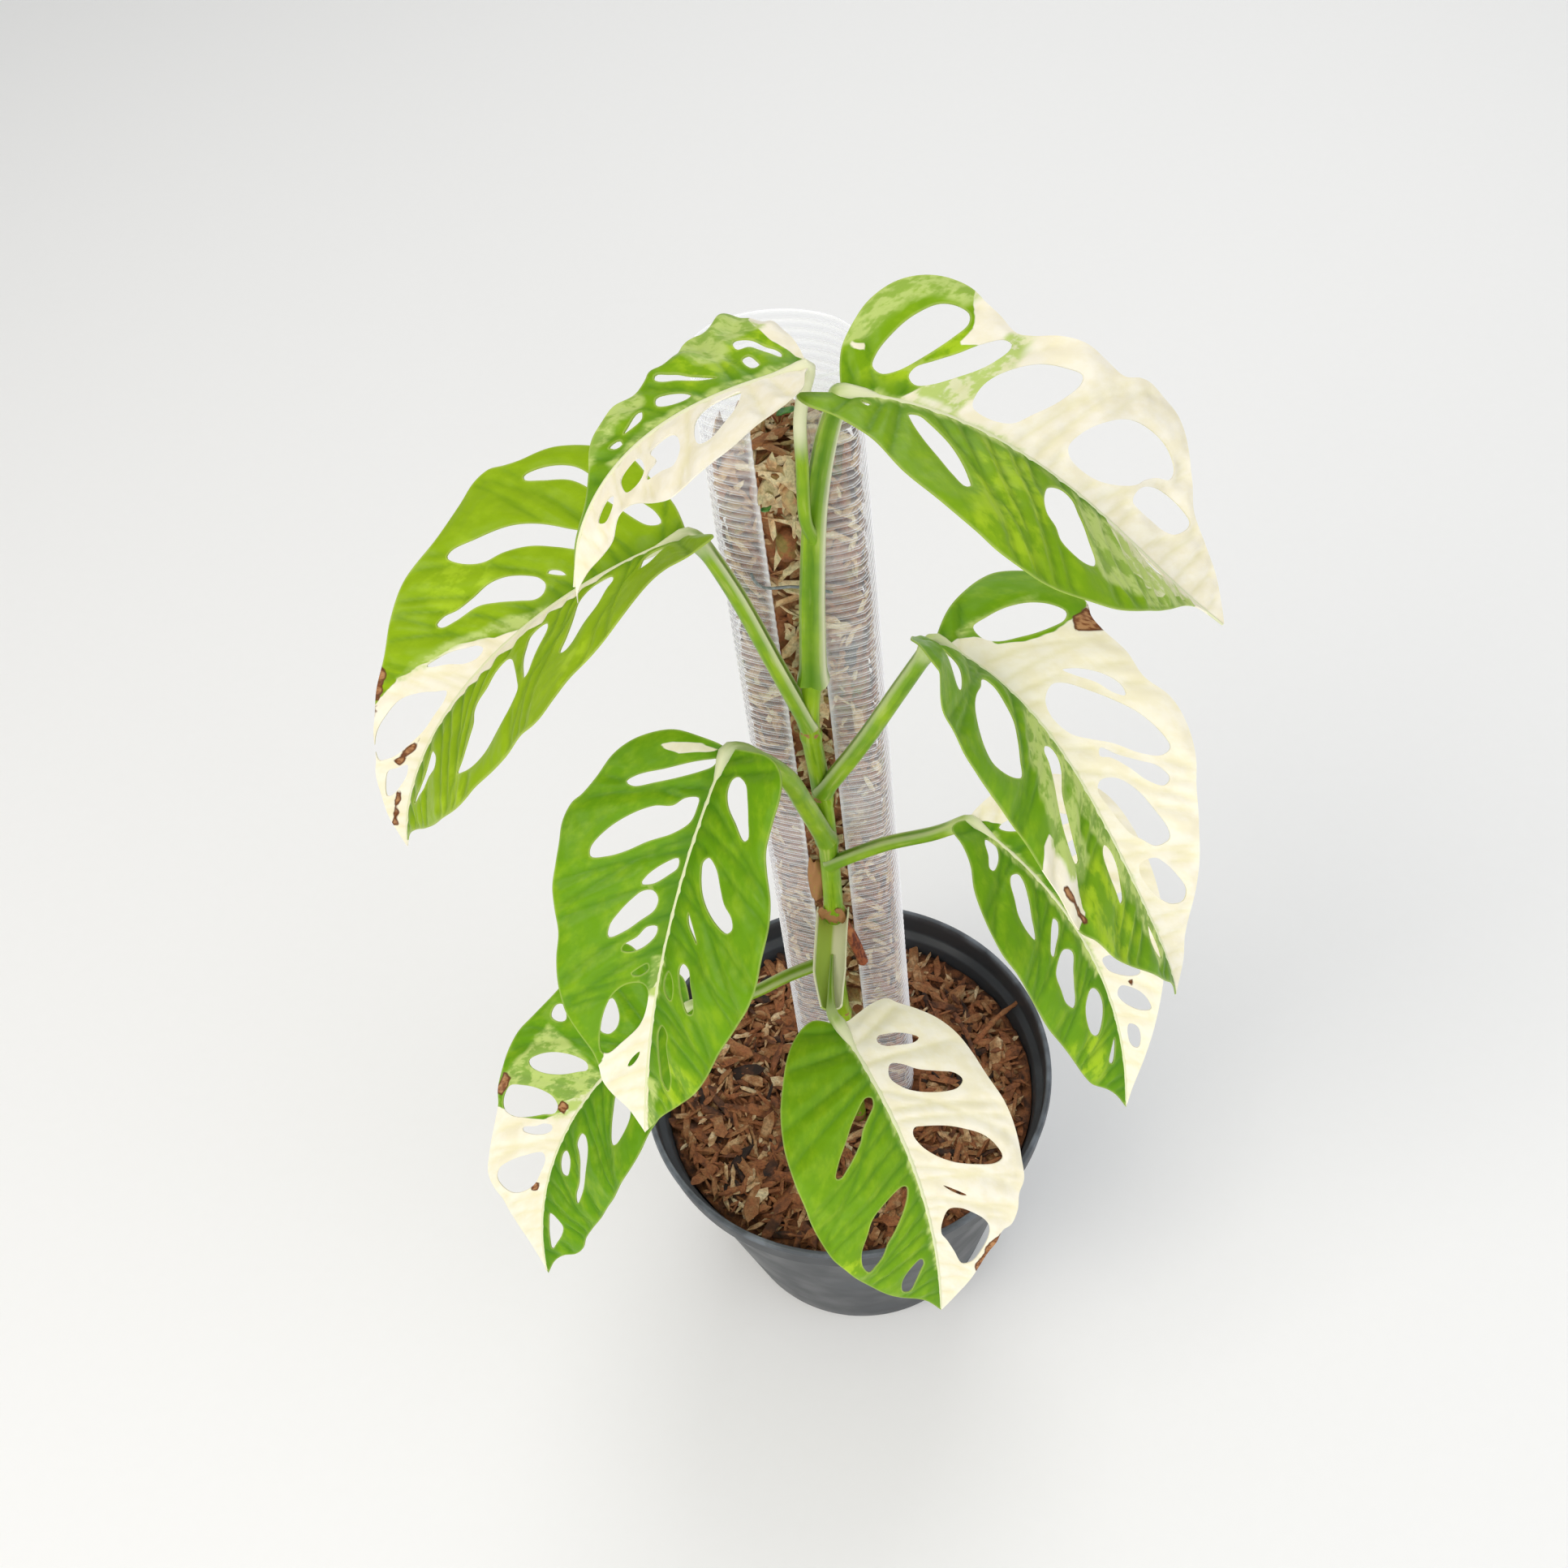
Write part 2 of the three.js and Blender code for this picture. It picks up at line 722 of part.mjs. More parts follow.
// A point of the blade: along the midrib, out from it on one side (1 is right, -1 is left) and lifted off
// the face. The half leaves the midrib at the fold angle and turns by curl for each millimetre out.
function bladePoint(plan, side, along, out, lift) {
  const { right, up } = bladeAxes(plan, along);
  const fold = radians(plan.fold[side > 0 ? 1 : 0]);
  const curl = radians(BLADE.curl);
  const spread = Math.max(out, 0);
  const slope = fold + curl * spread;
  let across = (Math.sin(slope) - Math.sin(fold)) / curl;
  let height = (Math.cos(fold) - Math.cos(slope)) / curl;
  if (out < 0) {
    across = out * Math.cos(fold);
    height = out * Math.sin(fold);
  }
  const phase = (TURN * (along + 0.4 * spread)) / BLADE.rippleLength + side;
  const wave = BLADE.ripple * (spread / 40) ** 2 * Math.sin(phase);
  const point = plan.midrib(along);
  point.addScaledVector(right, side * (across - (lift + wave) * Math.sin(slope)));
  return point.addScaledVector(up, height + (lift + wave) * Math.cos(slope));
}

// An oval hole's outline in the flat blade.
function holeOutline({ middle, half, width, lean }) {
  return roundSection(width > 6 ? 10 : width > 3.5 ? 8 : 6).map(([x, y]) => {
    const along = middle.x + half * x * Math.cos(lean) - (width / 2) * y * Math.sin(lean);
    const out = middle.y + half * x * Math.sin(lean) + (width / 2) * y * Math.cos(lean);
    return new THREE.Vector2(along, Math.max(out, BLADE.bridge + 0.1 * x));
  });
}

function holeOf([fromAlong, fromOut, toAlong, toOut, width]) {
  const from = new THREE.Vector2(fromAlong, fromOut);
  const to = new THREE.Vector2(toAlong, toOut);
  const middle = from.clone().add(to).divideScalar(2);
  return { middle, width, half: from.distanceTo(to) / 2, lean: to.sub(from).angle() };
}

// Whether a point of the flat blade is clear of a hole by the margin.
function clearOf({ middle, half, width, lean }, point, margin) {
  const local = point.clone().sub(middle).rotateAround(new THREE.Vector2(), -lean);
  return Math.hypot(local.x / (half + margin), local.y / (width / 2 + margin)) > 1;
}

function isInside(polygon, point) {
  let inside = false;
  polygon.forEach((a, i) => {
    const b = polygon[(i + 1) % polygon.length];
    const crosses = a.y > point.y !== b.y > point.y;
    if (crosses && point.x < a.x + ((point.y - a.y) / (b.y - a.y)) * (b.x - a.x)) inside = !inside;
  });
  return inside;
}

// The side veins that run clear of the holes, from the midrib to the edge. They part the half blade into
// fields.
function clearVeins(plan, ends, holes) {
  const { root, leans, fieldSteps, columns } = BLADE;
  const foot = (along) => new THREE.Vector2(along, root);
  const blade = [...ends, foot(plan.length), foot(0)];
  const veins = [{ index: 0, start: 0 }];
  for (let i = 1; i < ends.length - 1; i++) {
    const before = veins.at(-1);
    if (i - before.index < fieldSteps) continue;
    const start = leans
      .map((lean) => clamp(ends[i].x - lean * ends[i].y, 0, plan.length - 2))
      .find((along) => {
        if (along !== before.start && along < before.start + 3) return false;
        const samples = Array.from({ length: 15 }, (_, k) => foot(along).lerp(ends[i], (k + 1) / 16));
        return samples.every((p) => isInside(blade, p) && holes.every((hole) => clearOf(hole, p, 1)));
      });
    if (start !== undefined) veins.push({ index: i, start });
  }
  veins.push({ index: ends.length - 1, start: plan.length });
  const stops = Array.from({ length: columns + 1 }, (_, k) => k / columns);
  for (const vein of veins)
    vein.points = stops.map((share) => foot(vein.start).lerp(ends[vein.index], share));
  return veins;
}

// The points on the midrib from one vein to the next, ends left out.
function footPoints(from, to) {
  const pieces = Math.max(1, Math.round((to - from) / BLADE.footStep));
  const place = (k) => lerp(from, to, (k + 1) / pieces);
  return Array.from({ length: pieces - 1 }, (_, k) => new THREE.Vector2(place(k), BLADE.root));
}

// Half of a blade as a bent plate with its holes, split into the same triangles on both faces.
function bladeHalf(plan, side, { edge, holes }) {
  const curve = new THREE.SplineCurve(edge.map(([along, out]) => new THREE.Vector2(along, out)));
  const ends = curve.getSpacedPoints(BLADE.rows);
  for (const end of ends) end.y = Math.max(end.y, BLADE.root + 0.4);
  const ovals = holes.map(holeOf);
  const veins = clearVeins(plan, ends, ovals);
  const points = [];
  const faces = [];
  const cornersAt = (flat) => {
    points.push(bladePoint(plan, side, flat.x, flat.y, BLADE.thickness / 2));
    points.push(bladePoint(plan, side, flat.x, flat.y, -BLADE.thickness / 2));
    return points.length - 2;
  };
  const wall = (loop) => {
    const tops = loop.map(cornersAt);
    tops.forEach((a, i) => {
      const b = tops[(i + 1) % tops.length];
      faces.push(a, b, b + 1, a, b + 1, a + 1);
    });
  };
  const around = [...veins[0].points, ...ends.slice(1, -1), ...veins.at(-1).points.toReversed()];
  for (let v = 1; v < veins.length; v++) {
    const [before, after] = [veins[v - 1], veins[v]];
    const feet = footPoints(before.start, after.start).reverse();
    const field = [
      ...before.points,
      ...ends.slice(before.index + 1, after.index),
      ...after.points.toReversed(),
      ...feet,
    ];
    if (after.start === before.start) field.pop();
    const inner = ovals.filter((oval) => isInside(field, oval.middle)).map(holeOutline);
    const middle = field.reduce((sum, p) => sum.clone().add(p)).divideScalar(field.length);
    const onLine = new Set([...before.points.slice(1, -1), ...after.points.slice(1, -1), ...feet]);
    const eased = field.map((p) => (onLine.has(p) ? p.clone().lerp(middle, 0.02) : p));
    const outlines = [...eased, ...inner.flat()];
    const tops = [...field, ...inner.flat()].map(cornersAt);
    for (const [a, b, c] of THREE.ShapeUtils.triangulateShape(eased, inner)) {
      const ahead = THREE.ShapeUtils.area([outlines[a], outlines[b], outlines[c]]) > 0;
      const [p, q, r] = ahead ? [tops[a], tops[b], tops[c]] : [tops[c], tops[b], tops[a]];
      faces.push(p, q, r, r + 1, q + 1, p + 1);
    }
    for (const hole of inner) wall(THREE.ShapeUtils.isClockWise(hole) ? hole.toReversed() : hole);
  }
  for (let v = veins.length - 1; v > 0; v--) {
    const [before, after] = [veins[v - 1], veins[v]];
    around.push(...footPoints(before.start, after.start).reverse());
    if (before.start > 0 && before.start < after.start) around.push(before.points[0]);
  }
  wall(around);
  return solidOf(meshGeometry(points, faces));
}

// The stalk and the midrib are one rod, from inside the stem to the tip of the blade.
function ribSolid(plan, grow) {
  const ribStops = [0.12, 0.32, 0.55, 0.78, 1];
  const [foot, neck] = plan.stalkRadii;
  const count = plan.stalk.length;
  const ribPoint = (share) => {
    const along = share * plan.length;
    return plan.midrib(along).addScaledVector(bladeAxes(plan, along).up, -0.4 * (1 - share)).toArray();
  };
  const points = [...plan.stalk, plan.base, ...ribStops.map(ribPoint)];
  const radii = [
    ...plan.stalk.map((_, i) => lerp(foot, neck, i / count)),
    neck,
    ...ribStops.map((share) => lerp(1.5, 0.7, share)),
  ];
  const heading = radians(plan.heading[0]);
  const side = [Math.sin(heading), -Math.cos(heading), 0];
  return rod(points, radii, { side, section: roundSection(6), step: 17, grow });
}

function leafSolid(plan) {
  return joined([ribSolid(plan, 0), bladeHalf(plan, -1, plan.left), bladeHalf(plan, 1, plan.right)]);
}

// Potting mix

function mixSolid(cuts) {
  const clear = POT.wall + GAP + 0.1;
  const bottom = POT.floor + POT.panelRise + GAP;
  const profile = [
    [0, bottom],
    [wallRadius(4) - clear, bottom],
    [wallRadius(MIX.level - 3) - clear, MIX.level - 3],
    [wallRadius(MIX.level - 3) - clear - 6, MIX.level],
    [0, MIX.level],
  ];
  const draw = drawsFrom(7);
  const parts = [solidOf(turned(profile, POT.segments))];
  for (let i = 0; i < MIX.chips; i++) {
    const turn = TURN * (i * 0.618 + 0.08 * draw());
    const reach = MIX.chipReach * Math.sqrt((i + 0.5) / MIX.chips);
    const place = [reach * Math.cos(turn), reach * Math.sin(turn), MIX.level + 1.6 * draw()];
    const size = [11 + 12 * draw() ** 2, 8 + 5 * draw(), 6 + 3 * draw()];
    parts.push(chunk(draw, size, place, [0.7 * (draw() - 0.5), 0.7 * (draw() - 0.5), 3 * draw()]));
  }
  return mainBody(joined(parts).subtract(joined(cuts)));
}

// Assembly

const group = new THREE.Group();

function addPiece(name, solid, colour, roughness, opacity = 1) {
  const transparent = opacity < 1;
  const material = new THREE.MeshStandardMaterial({ color: colour, roughness, opacity, transparent });
  const mesh = new THREE.Mesh(geometryOf(solid), material);
  mesh.name = name;
  group.add(mesh);
}

const fatStem = stemSolid(GAP);
const fatRoot = rootSolid(GAP);
const poleRoom = prism(sheetLine(-POLE.sheet / 2 - GAP), POLE.bottom - GAP, POLE.top);

addPiece("pot", potSolid(), 0x33383d, 0.45);
addPiece("potting_mix", mixSolid([fatStem, poleRoom]), 0x6b4226, 0.95);
addPiece("pole_sleeve", sleeveSolid(), 0xc9c4b4, 0.25, 0.4);
addPiece("pole_fill", fillSolid(), 0x7a5534, 0.95);
addPiece("stem", stemSolid(0), 0x5f9a2c, 0.4);
addPiece("aerial_root", rootSolid(0).subtract(fatStem), 0xa4552a, 0.8);
addPiece("tie", tieSolid(), 0x7f858a, 0.5);

for (const plan of Object.values(LEAVES)) plan.midrib = midribOf(plan);

// What each leaf gives way to, besides the stem.
const yields = {
  leaf_top_left: [ribSolid(LEAVES.leaf_top_right, GAP)],
  leaf_front: [fatRoot],
};

for (const [name, plan] of Object.entries(LEAVES)) {
  let leaf = leafSolid(plan);
  if (name === "leaf_front") leaf = leaf.add(rod(SHEATH.path, SHEATH.radii, SHEATH));
  for (const solid of [fatStem, ...(yields[name] ?? [])]) leaf = leaf.subtract(solid);
  addPiece(name, mainBody(leaf), plan.colour, 0.35);
}

export default group;
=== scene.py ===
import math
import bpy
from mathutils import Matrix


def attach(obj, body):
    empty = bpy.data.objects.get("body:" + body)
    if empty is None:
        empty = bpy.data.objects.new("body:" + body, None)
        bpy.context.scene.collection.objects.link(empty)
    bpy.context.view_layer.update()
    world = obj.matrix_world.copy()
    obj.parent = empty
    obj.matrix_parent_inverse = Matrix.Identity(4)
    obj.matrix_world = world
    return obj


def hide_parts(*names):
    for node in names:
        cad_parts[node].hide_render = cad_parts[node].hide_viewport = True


bl_info = {
    "name": "Variegated climbing monstera",
    "version": (1, 0, 0),
    "blender": (4, 5, 0),
    "location": "3D View > Sidebar > Monstera",
    "description": "Dresses the frame of a potted, half cream climbing monstera on a bark-filled pole",
    "category": "Add Mesh",
}

from functools import partial

import bmesh
import bpy
import numpy as np
from bpy.props import FloatProperty, FloatVectorProperty, IntProperty, PointerProperty
from mathutils import Matrix, Vector
from mathutils.geometry import delaunay_2d_cdt

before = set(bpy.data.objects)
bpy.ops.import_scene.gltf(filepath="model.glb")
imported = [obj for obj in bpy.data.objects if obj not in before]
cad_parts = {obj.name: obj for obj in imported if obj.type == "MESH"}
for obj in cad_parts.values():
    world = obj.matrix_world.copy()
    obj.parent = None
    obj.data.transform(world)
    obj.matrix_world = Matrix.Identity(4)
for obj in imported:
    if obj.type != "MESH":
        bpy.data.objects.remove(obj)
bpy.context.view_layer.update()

# All shapes are worked out in millimetres in the part's frame, +Z up, and go into the meshes in metres.
MM = 0.001
TURN = 2 * math.pi


def to_mm(metres):
    """A setting, which Blender holds in metres, in millimetres."""
    return metres / MM


def linear(hex_colour):
    """An sRGB hex colour as the linear red, green, blue and alpha that shaders take."""
    parts = [int(hex_colour[i : i + 2], 16) / 255 for i in (1, 3, 5)]
    return (*[c / 12.92 if c <= 0.04045 else ((c + 0.055) / 1.055) ** 2.4 for c in parts], 1.0)


def unit(vectors):
    """Vectors scaled to a length of one."""
    return vectors / np.linalg.norm(vectors, axis=-1, keepdims=True)


def smoothstep(value, low, high):
    """0 up to low, 1 from high on, and t * t * (3 - 2 * t) between. With high below low it falls."""
    share = np.clip((value - low) / (high - low), 0, 1)
    return share * share * (3 - 2 * share)


def bumps(points, size, seed):
    """Smooth random relief, about -1 to 1: a sum of sine waves of about the given length, in random
    directions and phases."""
    waves = 10
    draw = np.random.default_rng(seed)
    directions = unit(draw.normal(size=(waves, points.shape[-1])))
    lengths = size * draw.uniform(0.7, 1.5, waves)
    phases = draw.uniform(0, TURN, waves)
    total = np.sin(points @ (directions * TURN / lengths[:, None]).T + phases).sum(-1)
    return total / math.sqrt(waves) * 0.7


def bell(value, middle, width):
    """1 at the middle, falling off as exp(-t * t) to either side."""
    return np.exp(-(((value - middle) / width) ** 2))


def turns_of(sides):
    """Even angles once round, in radians."""
    return np.arange(sides) * TURN / sides


def circle(turns):
    """Places on a circle of radius one at the given angles."""
    return np.stack([np.cos(turns), np.sin(turns)], -1)


def steps_along(path):
    """Each point's distance along a path from its start."""
    return np.concatenate([[0], np.cumsum(np.linalg.norm(np.diff(path, axis=0), axis=1))])


def through(points, step, closed=False):
    """A centripetal Catmull-Rom curve through the points, in even steps of about the given length."""
    knots = np.asarray(points, float)
    if closed:
        knots = np.concatenate([knots[-1:], knots, knots[:2]])
    else:
        knots = np.concatenate([2 * knots[:1] - knots[1:2], knots, 2 * knots[-1:] - knots[-2:-1]])
    gaps = np.maximum(np.linalg.norm(np.diff(knots, axis=0), axis=1) ** 0.5, 1e-6)
    p0, p1, p2, p3 = knots[:-3], knots[1:-2], knots[2:-1], knots[3:]
    g0, g1, g2 = (g[:, None] for g in (gaps[:-2], gaps[1:-1], gaps[2:]))
    leave = ((p1 - p0) / g0 - (p2 - p0) / (g0 + g1) + (p2 - p1) / g1) * g1
    reach = ((p2 - p1) / g1 - (p3 - p1) / (g1 + g2) + (p3 - p2) / g2) * g1
    t = np.linspace(0, 1, 24, endpoint=False)[None, :, None]
    a, b, c, d = (v[:, None] for v in (p1, leave, reach, p2))
    curve = (
        a * (2 * t**3 - 3 * t**2 + 1)
        + b * (t**3 - 2 * t**2 + t)
        + c * (t**3 - t**2)
        + d * (3 * t**2 - 2 * t**3)
    )
    curve = np.concatenate([curve.reshape(-1, knots.shape[1]), p2[-1:]])
    lengths = steps_along(curve)
    count = max(3, int(round(lengths[-1] / step)) + 1)
    marks = np.linspace(0, lengths[-1], count)
    even = np.stack([np.interp(marks, lengths, curve[:, k]) for k in range(knots.shape[1])], -1)
    return even[:-1] if closed else even


def grid_faces(rows, columns, wrap=False):
    """Four-cornered faces of a grid of points, row after row. With wrap the last column meets the first."""
    i, j = np.meshgrid(np.arange(rows - 1), np.arange(columns if wrap else columns - 1), indexing="ij")
    k = (j + 1) % columns
    corners = [i * columns + j, i * columns + k, (i + 1) * columns + k, (i + 1) * columns + j]
    return np.stack(corners, -1).reshape(-1, 4)


def merged(parts):
    """Several shapes as one. A shape is its points, its faces, as a list of arrays, and its marks, which
    are named values, one per point or one for all."""
    points, faces, marks, start = [], [], {}, 0
    for shape in parts:
        points.append(shape[0])
        faces += [group + start for group in shape[1]]
        for name, values in shape[2].items():
            marks.setdefault(name, []).append(np.broadcast_to(values, len(shape[0])))
        start += len(shape[0])
    return np.concatenate(points), faces, {name: np.concatenate(values) for name, values in marks.items()}


def closed_rings(rows, sides):
    """Faces of rows of rings, one after the other, closed by a point before the first and one past the
    last. The two points come after all the rings."""
    j = np.arange(sides)
    k = (j + 1) % sides
    start = np.full(sides, rows * sides)
    last = (rows - 1) * sides
    fans = [np.stack([start, k, j], -1), np.stack([start + 1, last + j, last + k], -1)]
    return [grid_faces(rows, sides, wrap=True), np.concatenate(fans)]


def with_ends(values, first=0.0, last=0.0):
    """A tube's values, ring after ring, followed by those of its two end points."""
    return np.concatenate([values.ravel(), [first, last]])


def tube(path, radii, sides, side, section=None):
    """Rings of a section carried square to a path, closed by a point at each end.

    The section's first axis is the side vector laid square to the path, its second is path x first.
    """
    path = np.asarray(path, float)
    along = unit(np.gradient(path, axis=0))
    side = np.broadcast_to(np.asarray(side, float), path.shape)
    across = unit(side - (side * along).sum(-1, keepdims=True) * along)
    up = np.cross(along, across)
    if section is None:
        section = circle(turns_of(sides))
    section = np.broadcast_to(section, (len(path), sides, 2))
    radii = np.broadcast_to(np.asarray(radii, float).reshape(len(path), -1, 1), (len(path), sides, 1))
    rings = path[:, None] + (across[:, None] * section[..., :1] + up[:, None] * section[..., 1:]) * radii
    return np.concatenate([rings.reshape(-1, 3), path[:1], path[-1:]]), closed_rings(len(path), sides)


def round_ends(path, radii, rings=4):
    """Ends a tube in half balls: extra rings at each end whose radius falls as a quarter circle does."""
    path = np.asarray(path, float)
    radii = np.asarray(radii, float)
    turns = np.linspace(0, math.pi / 2, rings + 1)[1:] * 0.97
    shrink = np.cos(turns)
    first = path[0] - unit(path[1] - path[0]) * (np.sin(turns) * radii[0])[:, None]
    final = path[-1] + unit(path[-1] - path[-2]) * (np.sin(turns) * radii[-1])[:, None]
    return (
        np.concatenate([first[::-1], path, final]),
        np.concatenate([(shrink * radii[0])[::-1], radii, shrink * radii[-1]]),
    )


def turned(profile, sides):
    """A profile of (radius, height) carried round the Z axis, one ring of points for each of its points."""
    profile = np.asarray(profile, float)
    turns = turns_of(sides)
    radius = profile[:, :1]
    rings = np.stack([radius * np.cos(turns), radius * np.sin(turns), profile[:, 1:] + 0 * turns], -1)
    return rings.reshape(-1, 3), [grid_faces(len(profile), sides, wrap=True)]


def softened(profile, reach):
    """Rounds the corners of a profile: each is cut back by up to reach and bridged by a parabola."""
    profile = np.asarray(profile, float)
    before = np.roll(profile, 1, axis=0)
    after = np.roll(profile, -1, axis=0)

    def cut(far):
        """The place where a corner's side towards the far end is cut."""
        length = np.linalg.norm(far - profile, axis=1, keepdims=True)
        return profile + (far - profile) / length * np.minimum(reach, 0.4 * length)

    start, end = cut(before)[:, None], cut(after)[:, None]
    t = np.linspace(0, 1, 4)[None, :, None]
    return (start * (1 - t) ** 2 + 2 * profile[:, None] * t * (1 - t) + end * t**2).reshape(-1, 2)


def make_piece(name, shape, materials, replaces=(), kinds=None, sharp=None):
    """Puts whole arrays into one mesh and gives it to the frame.

    kinds holds each face's material number, sharp an angle in degrees past which an edge stays hard.
    Marks become values per point that the finishes read, and the marks u and v the UV map, in metres.
    """
    points, faces, marks = shape
    mesh = bpy.data.meshes.new(name)
    mesh.vertices.add(len(points))
    mesh.vertices.foreach_set("co", (points * MM).astype(np.float32).ravel())
    corners = np.concatenate([group.ravel() for group in faces]).astype(np.int32)
    sizes = np.concatenate([np.full(len(group), group.shape[1]) for group in faces])
    mesh.loops.add(len(corners))
    mesh.loops.foreach_set("vertex_index", corners)
    mesh.polygons.add(len(sizes))
    mesh.polygons.foreach_set("loop_start", (np.cumsum(sizes) - sizes).astype(np.int32))
    if kinds is not None:
        mesh.polygons.foreach_set("material_index", np.asarray(kinds, np.int32))
    mesh.update(calc_edges=True)
    mesh.polygons.foreach_set("use_smooth", np.full(len(sizes), True))
    for mark in sorted(set(marks) - {"u", "v"}):
        made = mesh.attributes.new(mark, "FLOAT", "POINT")
        made.data.foreach_set("value", np.broadcast_to(marks[mark], len(points)).astype(np.float32))
    if "u" in marks:
        layer = mesh.uv_layers.new(name="UVMap")
        pairs = np.stack([marks["u"], marks["v"]], -1)[corners]
        layer.data.foreach_set("uv", pairs.astype(np.float32).ravel())
    if sharp is not None:
        mesh.set_sharp_from_angle(angle=math.radians(sharp))
    if mesh.validate():
        raise RuntimeError(f"{name} had broken faces")
    for material in materials:
        mesh.materials.append(material)
    piece = bpy.data.objects.new(name, mesh)
    bpy.context.scene.collection.objects.link(piece)
    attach(piece, "root")
    if replaces:
        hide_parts(*replaces)
    return piece


# Sizes and colours that a user would change


def length(name, description, millimetres):
    """A setting that is a length."""
    return FloatProperty(
        name=name, description=description, default=millimetres * MM, unit="LENGTH", precision=4
    )


def colour(name, description, hex_colour):
    """A setting that is a colour."""
    shade = linear(hex_colour)
    return FloatVectorProperty(
        name=name, description=description, default=shade, size=4, min=0, max=1, subtype="COLOR"
    )


class PotSettings(bpy.types.PropertyGroup):
    rim_radius: length("Rim radius", "Half the width across the rolled lip", 90)
    height: length("Height", "From the surface that the pot stands on to the lip", 125)
    base_radius: length("Base radius", "Half the width of the foot", 60)
    wall: length("Wall", "Thickness of the moulded wall", 1.6)
    plastic: colour("Plastic", "Colour of the pot", "#33373b")
    # Also the colour of the dust, and of the painted highlight along the lip.
    dust_scuffs_and_sheen: colour("Worn plastic", "Colour of the rubbed lip and edges", "#6d747b")


class MixSettings(bpy.types.PropertyGroup):
    level: length("Level", "Height of the potting mix in the pot", 106.5)
    chips: IntProperty(name="Chips", description="Loose pieces of bark and husk", default=2500, min=0)
    chip_length: length("Chip length", "Length of a common chip", 10)
    dark: colour("Damp bark", "Colour of the dark pieces", "#5f3b25")
    red: colour("Red bark", "Colour of the fresh bark", "#a5663c")
    tan: colour("Husk", "Colour of the dry husk and wood", "#d8b283")


class PoleSettings(bpy.types.PropertyGroup):
    sheet: length("Sheet", "Thickness of the clear sheet", 0.8)
    rib_pitch: length("Rib pitch", "Distance from one moulded rib to the next", 3.5)
    rib_height: length("Rib height", "How far a rib stands out", 0.8)
    haze: FloatProperty(
        name="Haze", description="How much the sheet hides", default=0.05, min=0, max=1, subtype="FACTOR"
    )
    chips: IntProperty(name="Chips", description="Pieces of bark against the sheet", default=2400, min=0)


class StemSettings(bpy.types.PropertyGroup):
    radius: length("Foot radius", "Half the thickness of the stem in the mix", 4.3)
    tip_radius: length("Tip radius", "Half the thickness of the stem under the newest leaf", 3.3)
    green: colour("Green", "Colour of the stem", "#719b1e")
    pale: colour("Pale streak", "Colour of the stem's pale streaks", "#bcc968")
    scar: colour("Scar", "Colour of the dry rings and husks", "#ab7c52")
    root: colour("Root", "Colour of the aerial root", "#a5562c")


class LeafSettings(bpy.types.PropertyGroup):
    thickness: length("Thickness", "Thickness of a blade", 0.5)
    pitch: length("Mesh pitch", "Distance between the points of a blade's mesh", 1.1)
    quilting: length("Quilting", "How far a blade swells between its side veins", 1.2)
    green: colour("Green", "Colour of a full grown blade", "#55900c")
    fresh: colour("Fresh green", "Colour of a young blade", "#8bad0c")
    # Deep green colours the leaf's darker streaks and the midrib's sides, and is also painted shade in the
    # grooves over the side veins and in the stalks' channels.
    deep: colour("Deep green", "Colour beside the midrib and in the grooves", "#2f6a10")
    lime: colour("Lime", "Colour of thin green", "#a9c823")
    cream: colour("Cream", "Colour of the half without leaf green", "#efe7ca")
    grey: colour("Grey green", "Colour of the marbled patches", "#b9cc72")
    burnt: colour("Dry brown", "Colour of the dried spots", "#b5865a")


class StageSettings(bpy.types.PropertyGroup):
    floor: colour("Floor", "Colour of the floor and backdrop", "#f8f8f6")
    light: FloatProperty(name="Light", description="Strength of the studio lights", default=1.0, min=0)


SETTINGS = {
    "monstera_pot": PotSettings,
    "monstera_mix": MixSettings,
    "monstera_pole": PoleSettings,
    "monstera_stem": StemSettings,
    "monstera_leaf": LeafSettings,
    "monstera_stage": StageSettings,
}


# Finishes


# Short names of the nodes: Blender's kind, the sockets that take the values in order, the output, settings.
KINDS = {
    "place": ("ShaderNodeTexCoord", (), "Object", {}),
    "uv": ("ShaderNodeTexCoord", (), "UV", {}),
    "mark": ("ShaderNodeAttribute", (), "Fac", {}),
    "split": ("ShaderNodeSeparateXYZ", (0,), "Z", {}),
    "facing": ("ShaderNodeLayerWeight", ("Blend",), "Facing", {}),
    "stretch": ("ShaderNodeMapping", ("Vector", "Scale"), 0, {}),
    "noise": ("ShaderNodeTexNoise", ("Vector", "Scale", "Detail", "Roughness"), "Fac", {}),
    "range": ("ShaderNodeMapRange", (0, 1, 2, 3, 4), 0, {"interpolation_type": "SMOOTHSTEP"}),
    "mix": ("ShaderNodeMix", (0, 6, 7), 2, {"data_type": "RGBA"}),
    "ramp": ("ShaderNodeValToRGB", (0,), 0, {}),
    "bump": ("ShaderNodeBump", ("Height", "Distance", "Strength"), 0, {}),
    "sum": ("ShaderNodeMath", (0, 1), 0, {"operation": "ADD"}),
    "less": ("ShaderNodeMath", (0, 1), 0, {"operation": "SUBTRACT"}),
    "times": ("ShaderNodeMath", (0, 1), 0, {"operation": "MULTIPLY"}),
    "larger": ("ShaderNodeMath", (0, 1), 0, {"operation": "MAXIMUM"}),
}


def fill(node, socket, value):
    """Gives a node's socket a number or a colour, or links it to another node's output."""
    if isinstance(value, bpy.types.NodeSocket):
        node.id_data.links.new(value, node.inputs[socket])
    else:
        node.inputs[socket].default_value = value


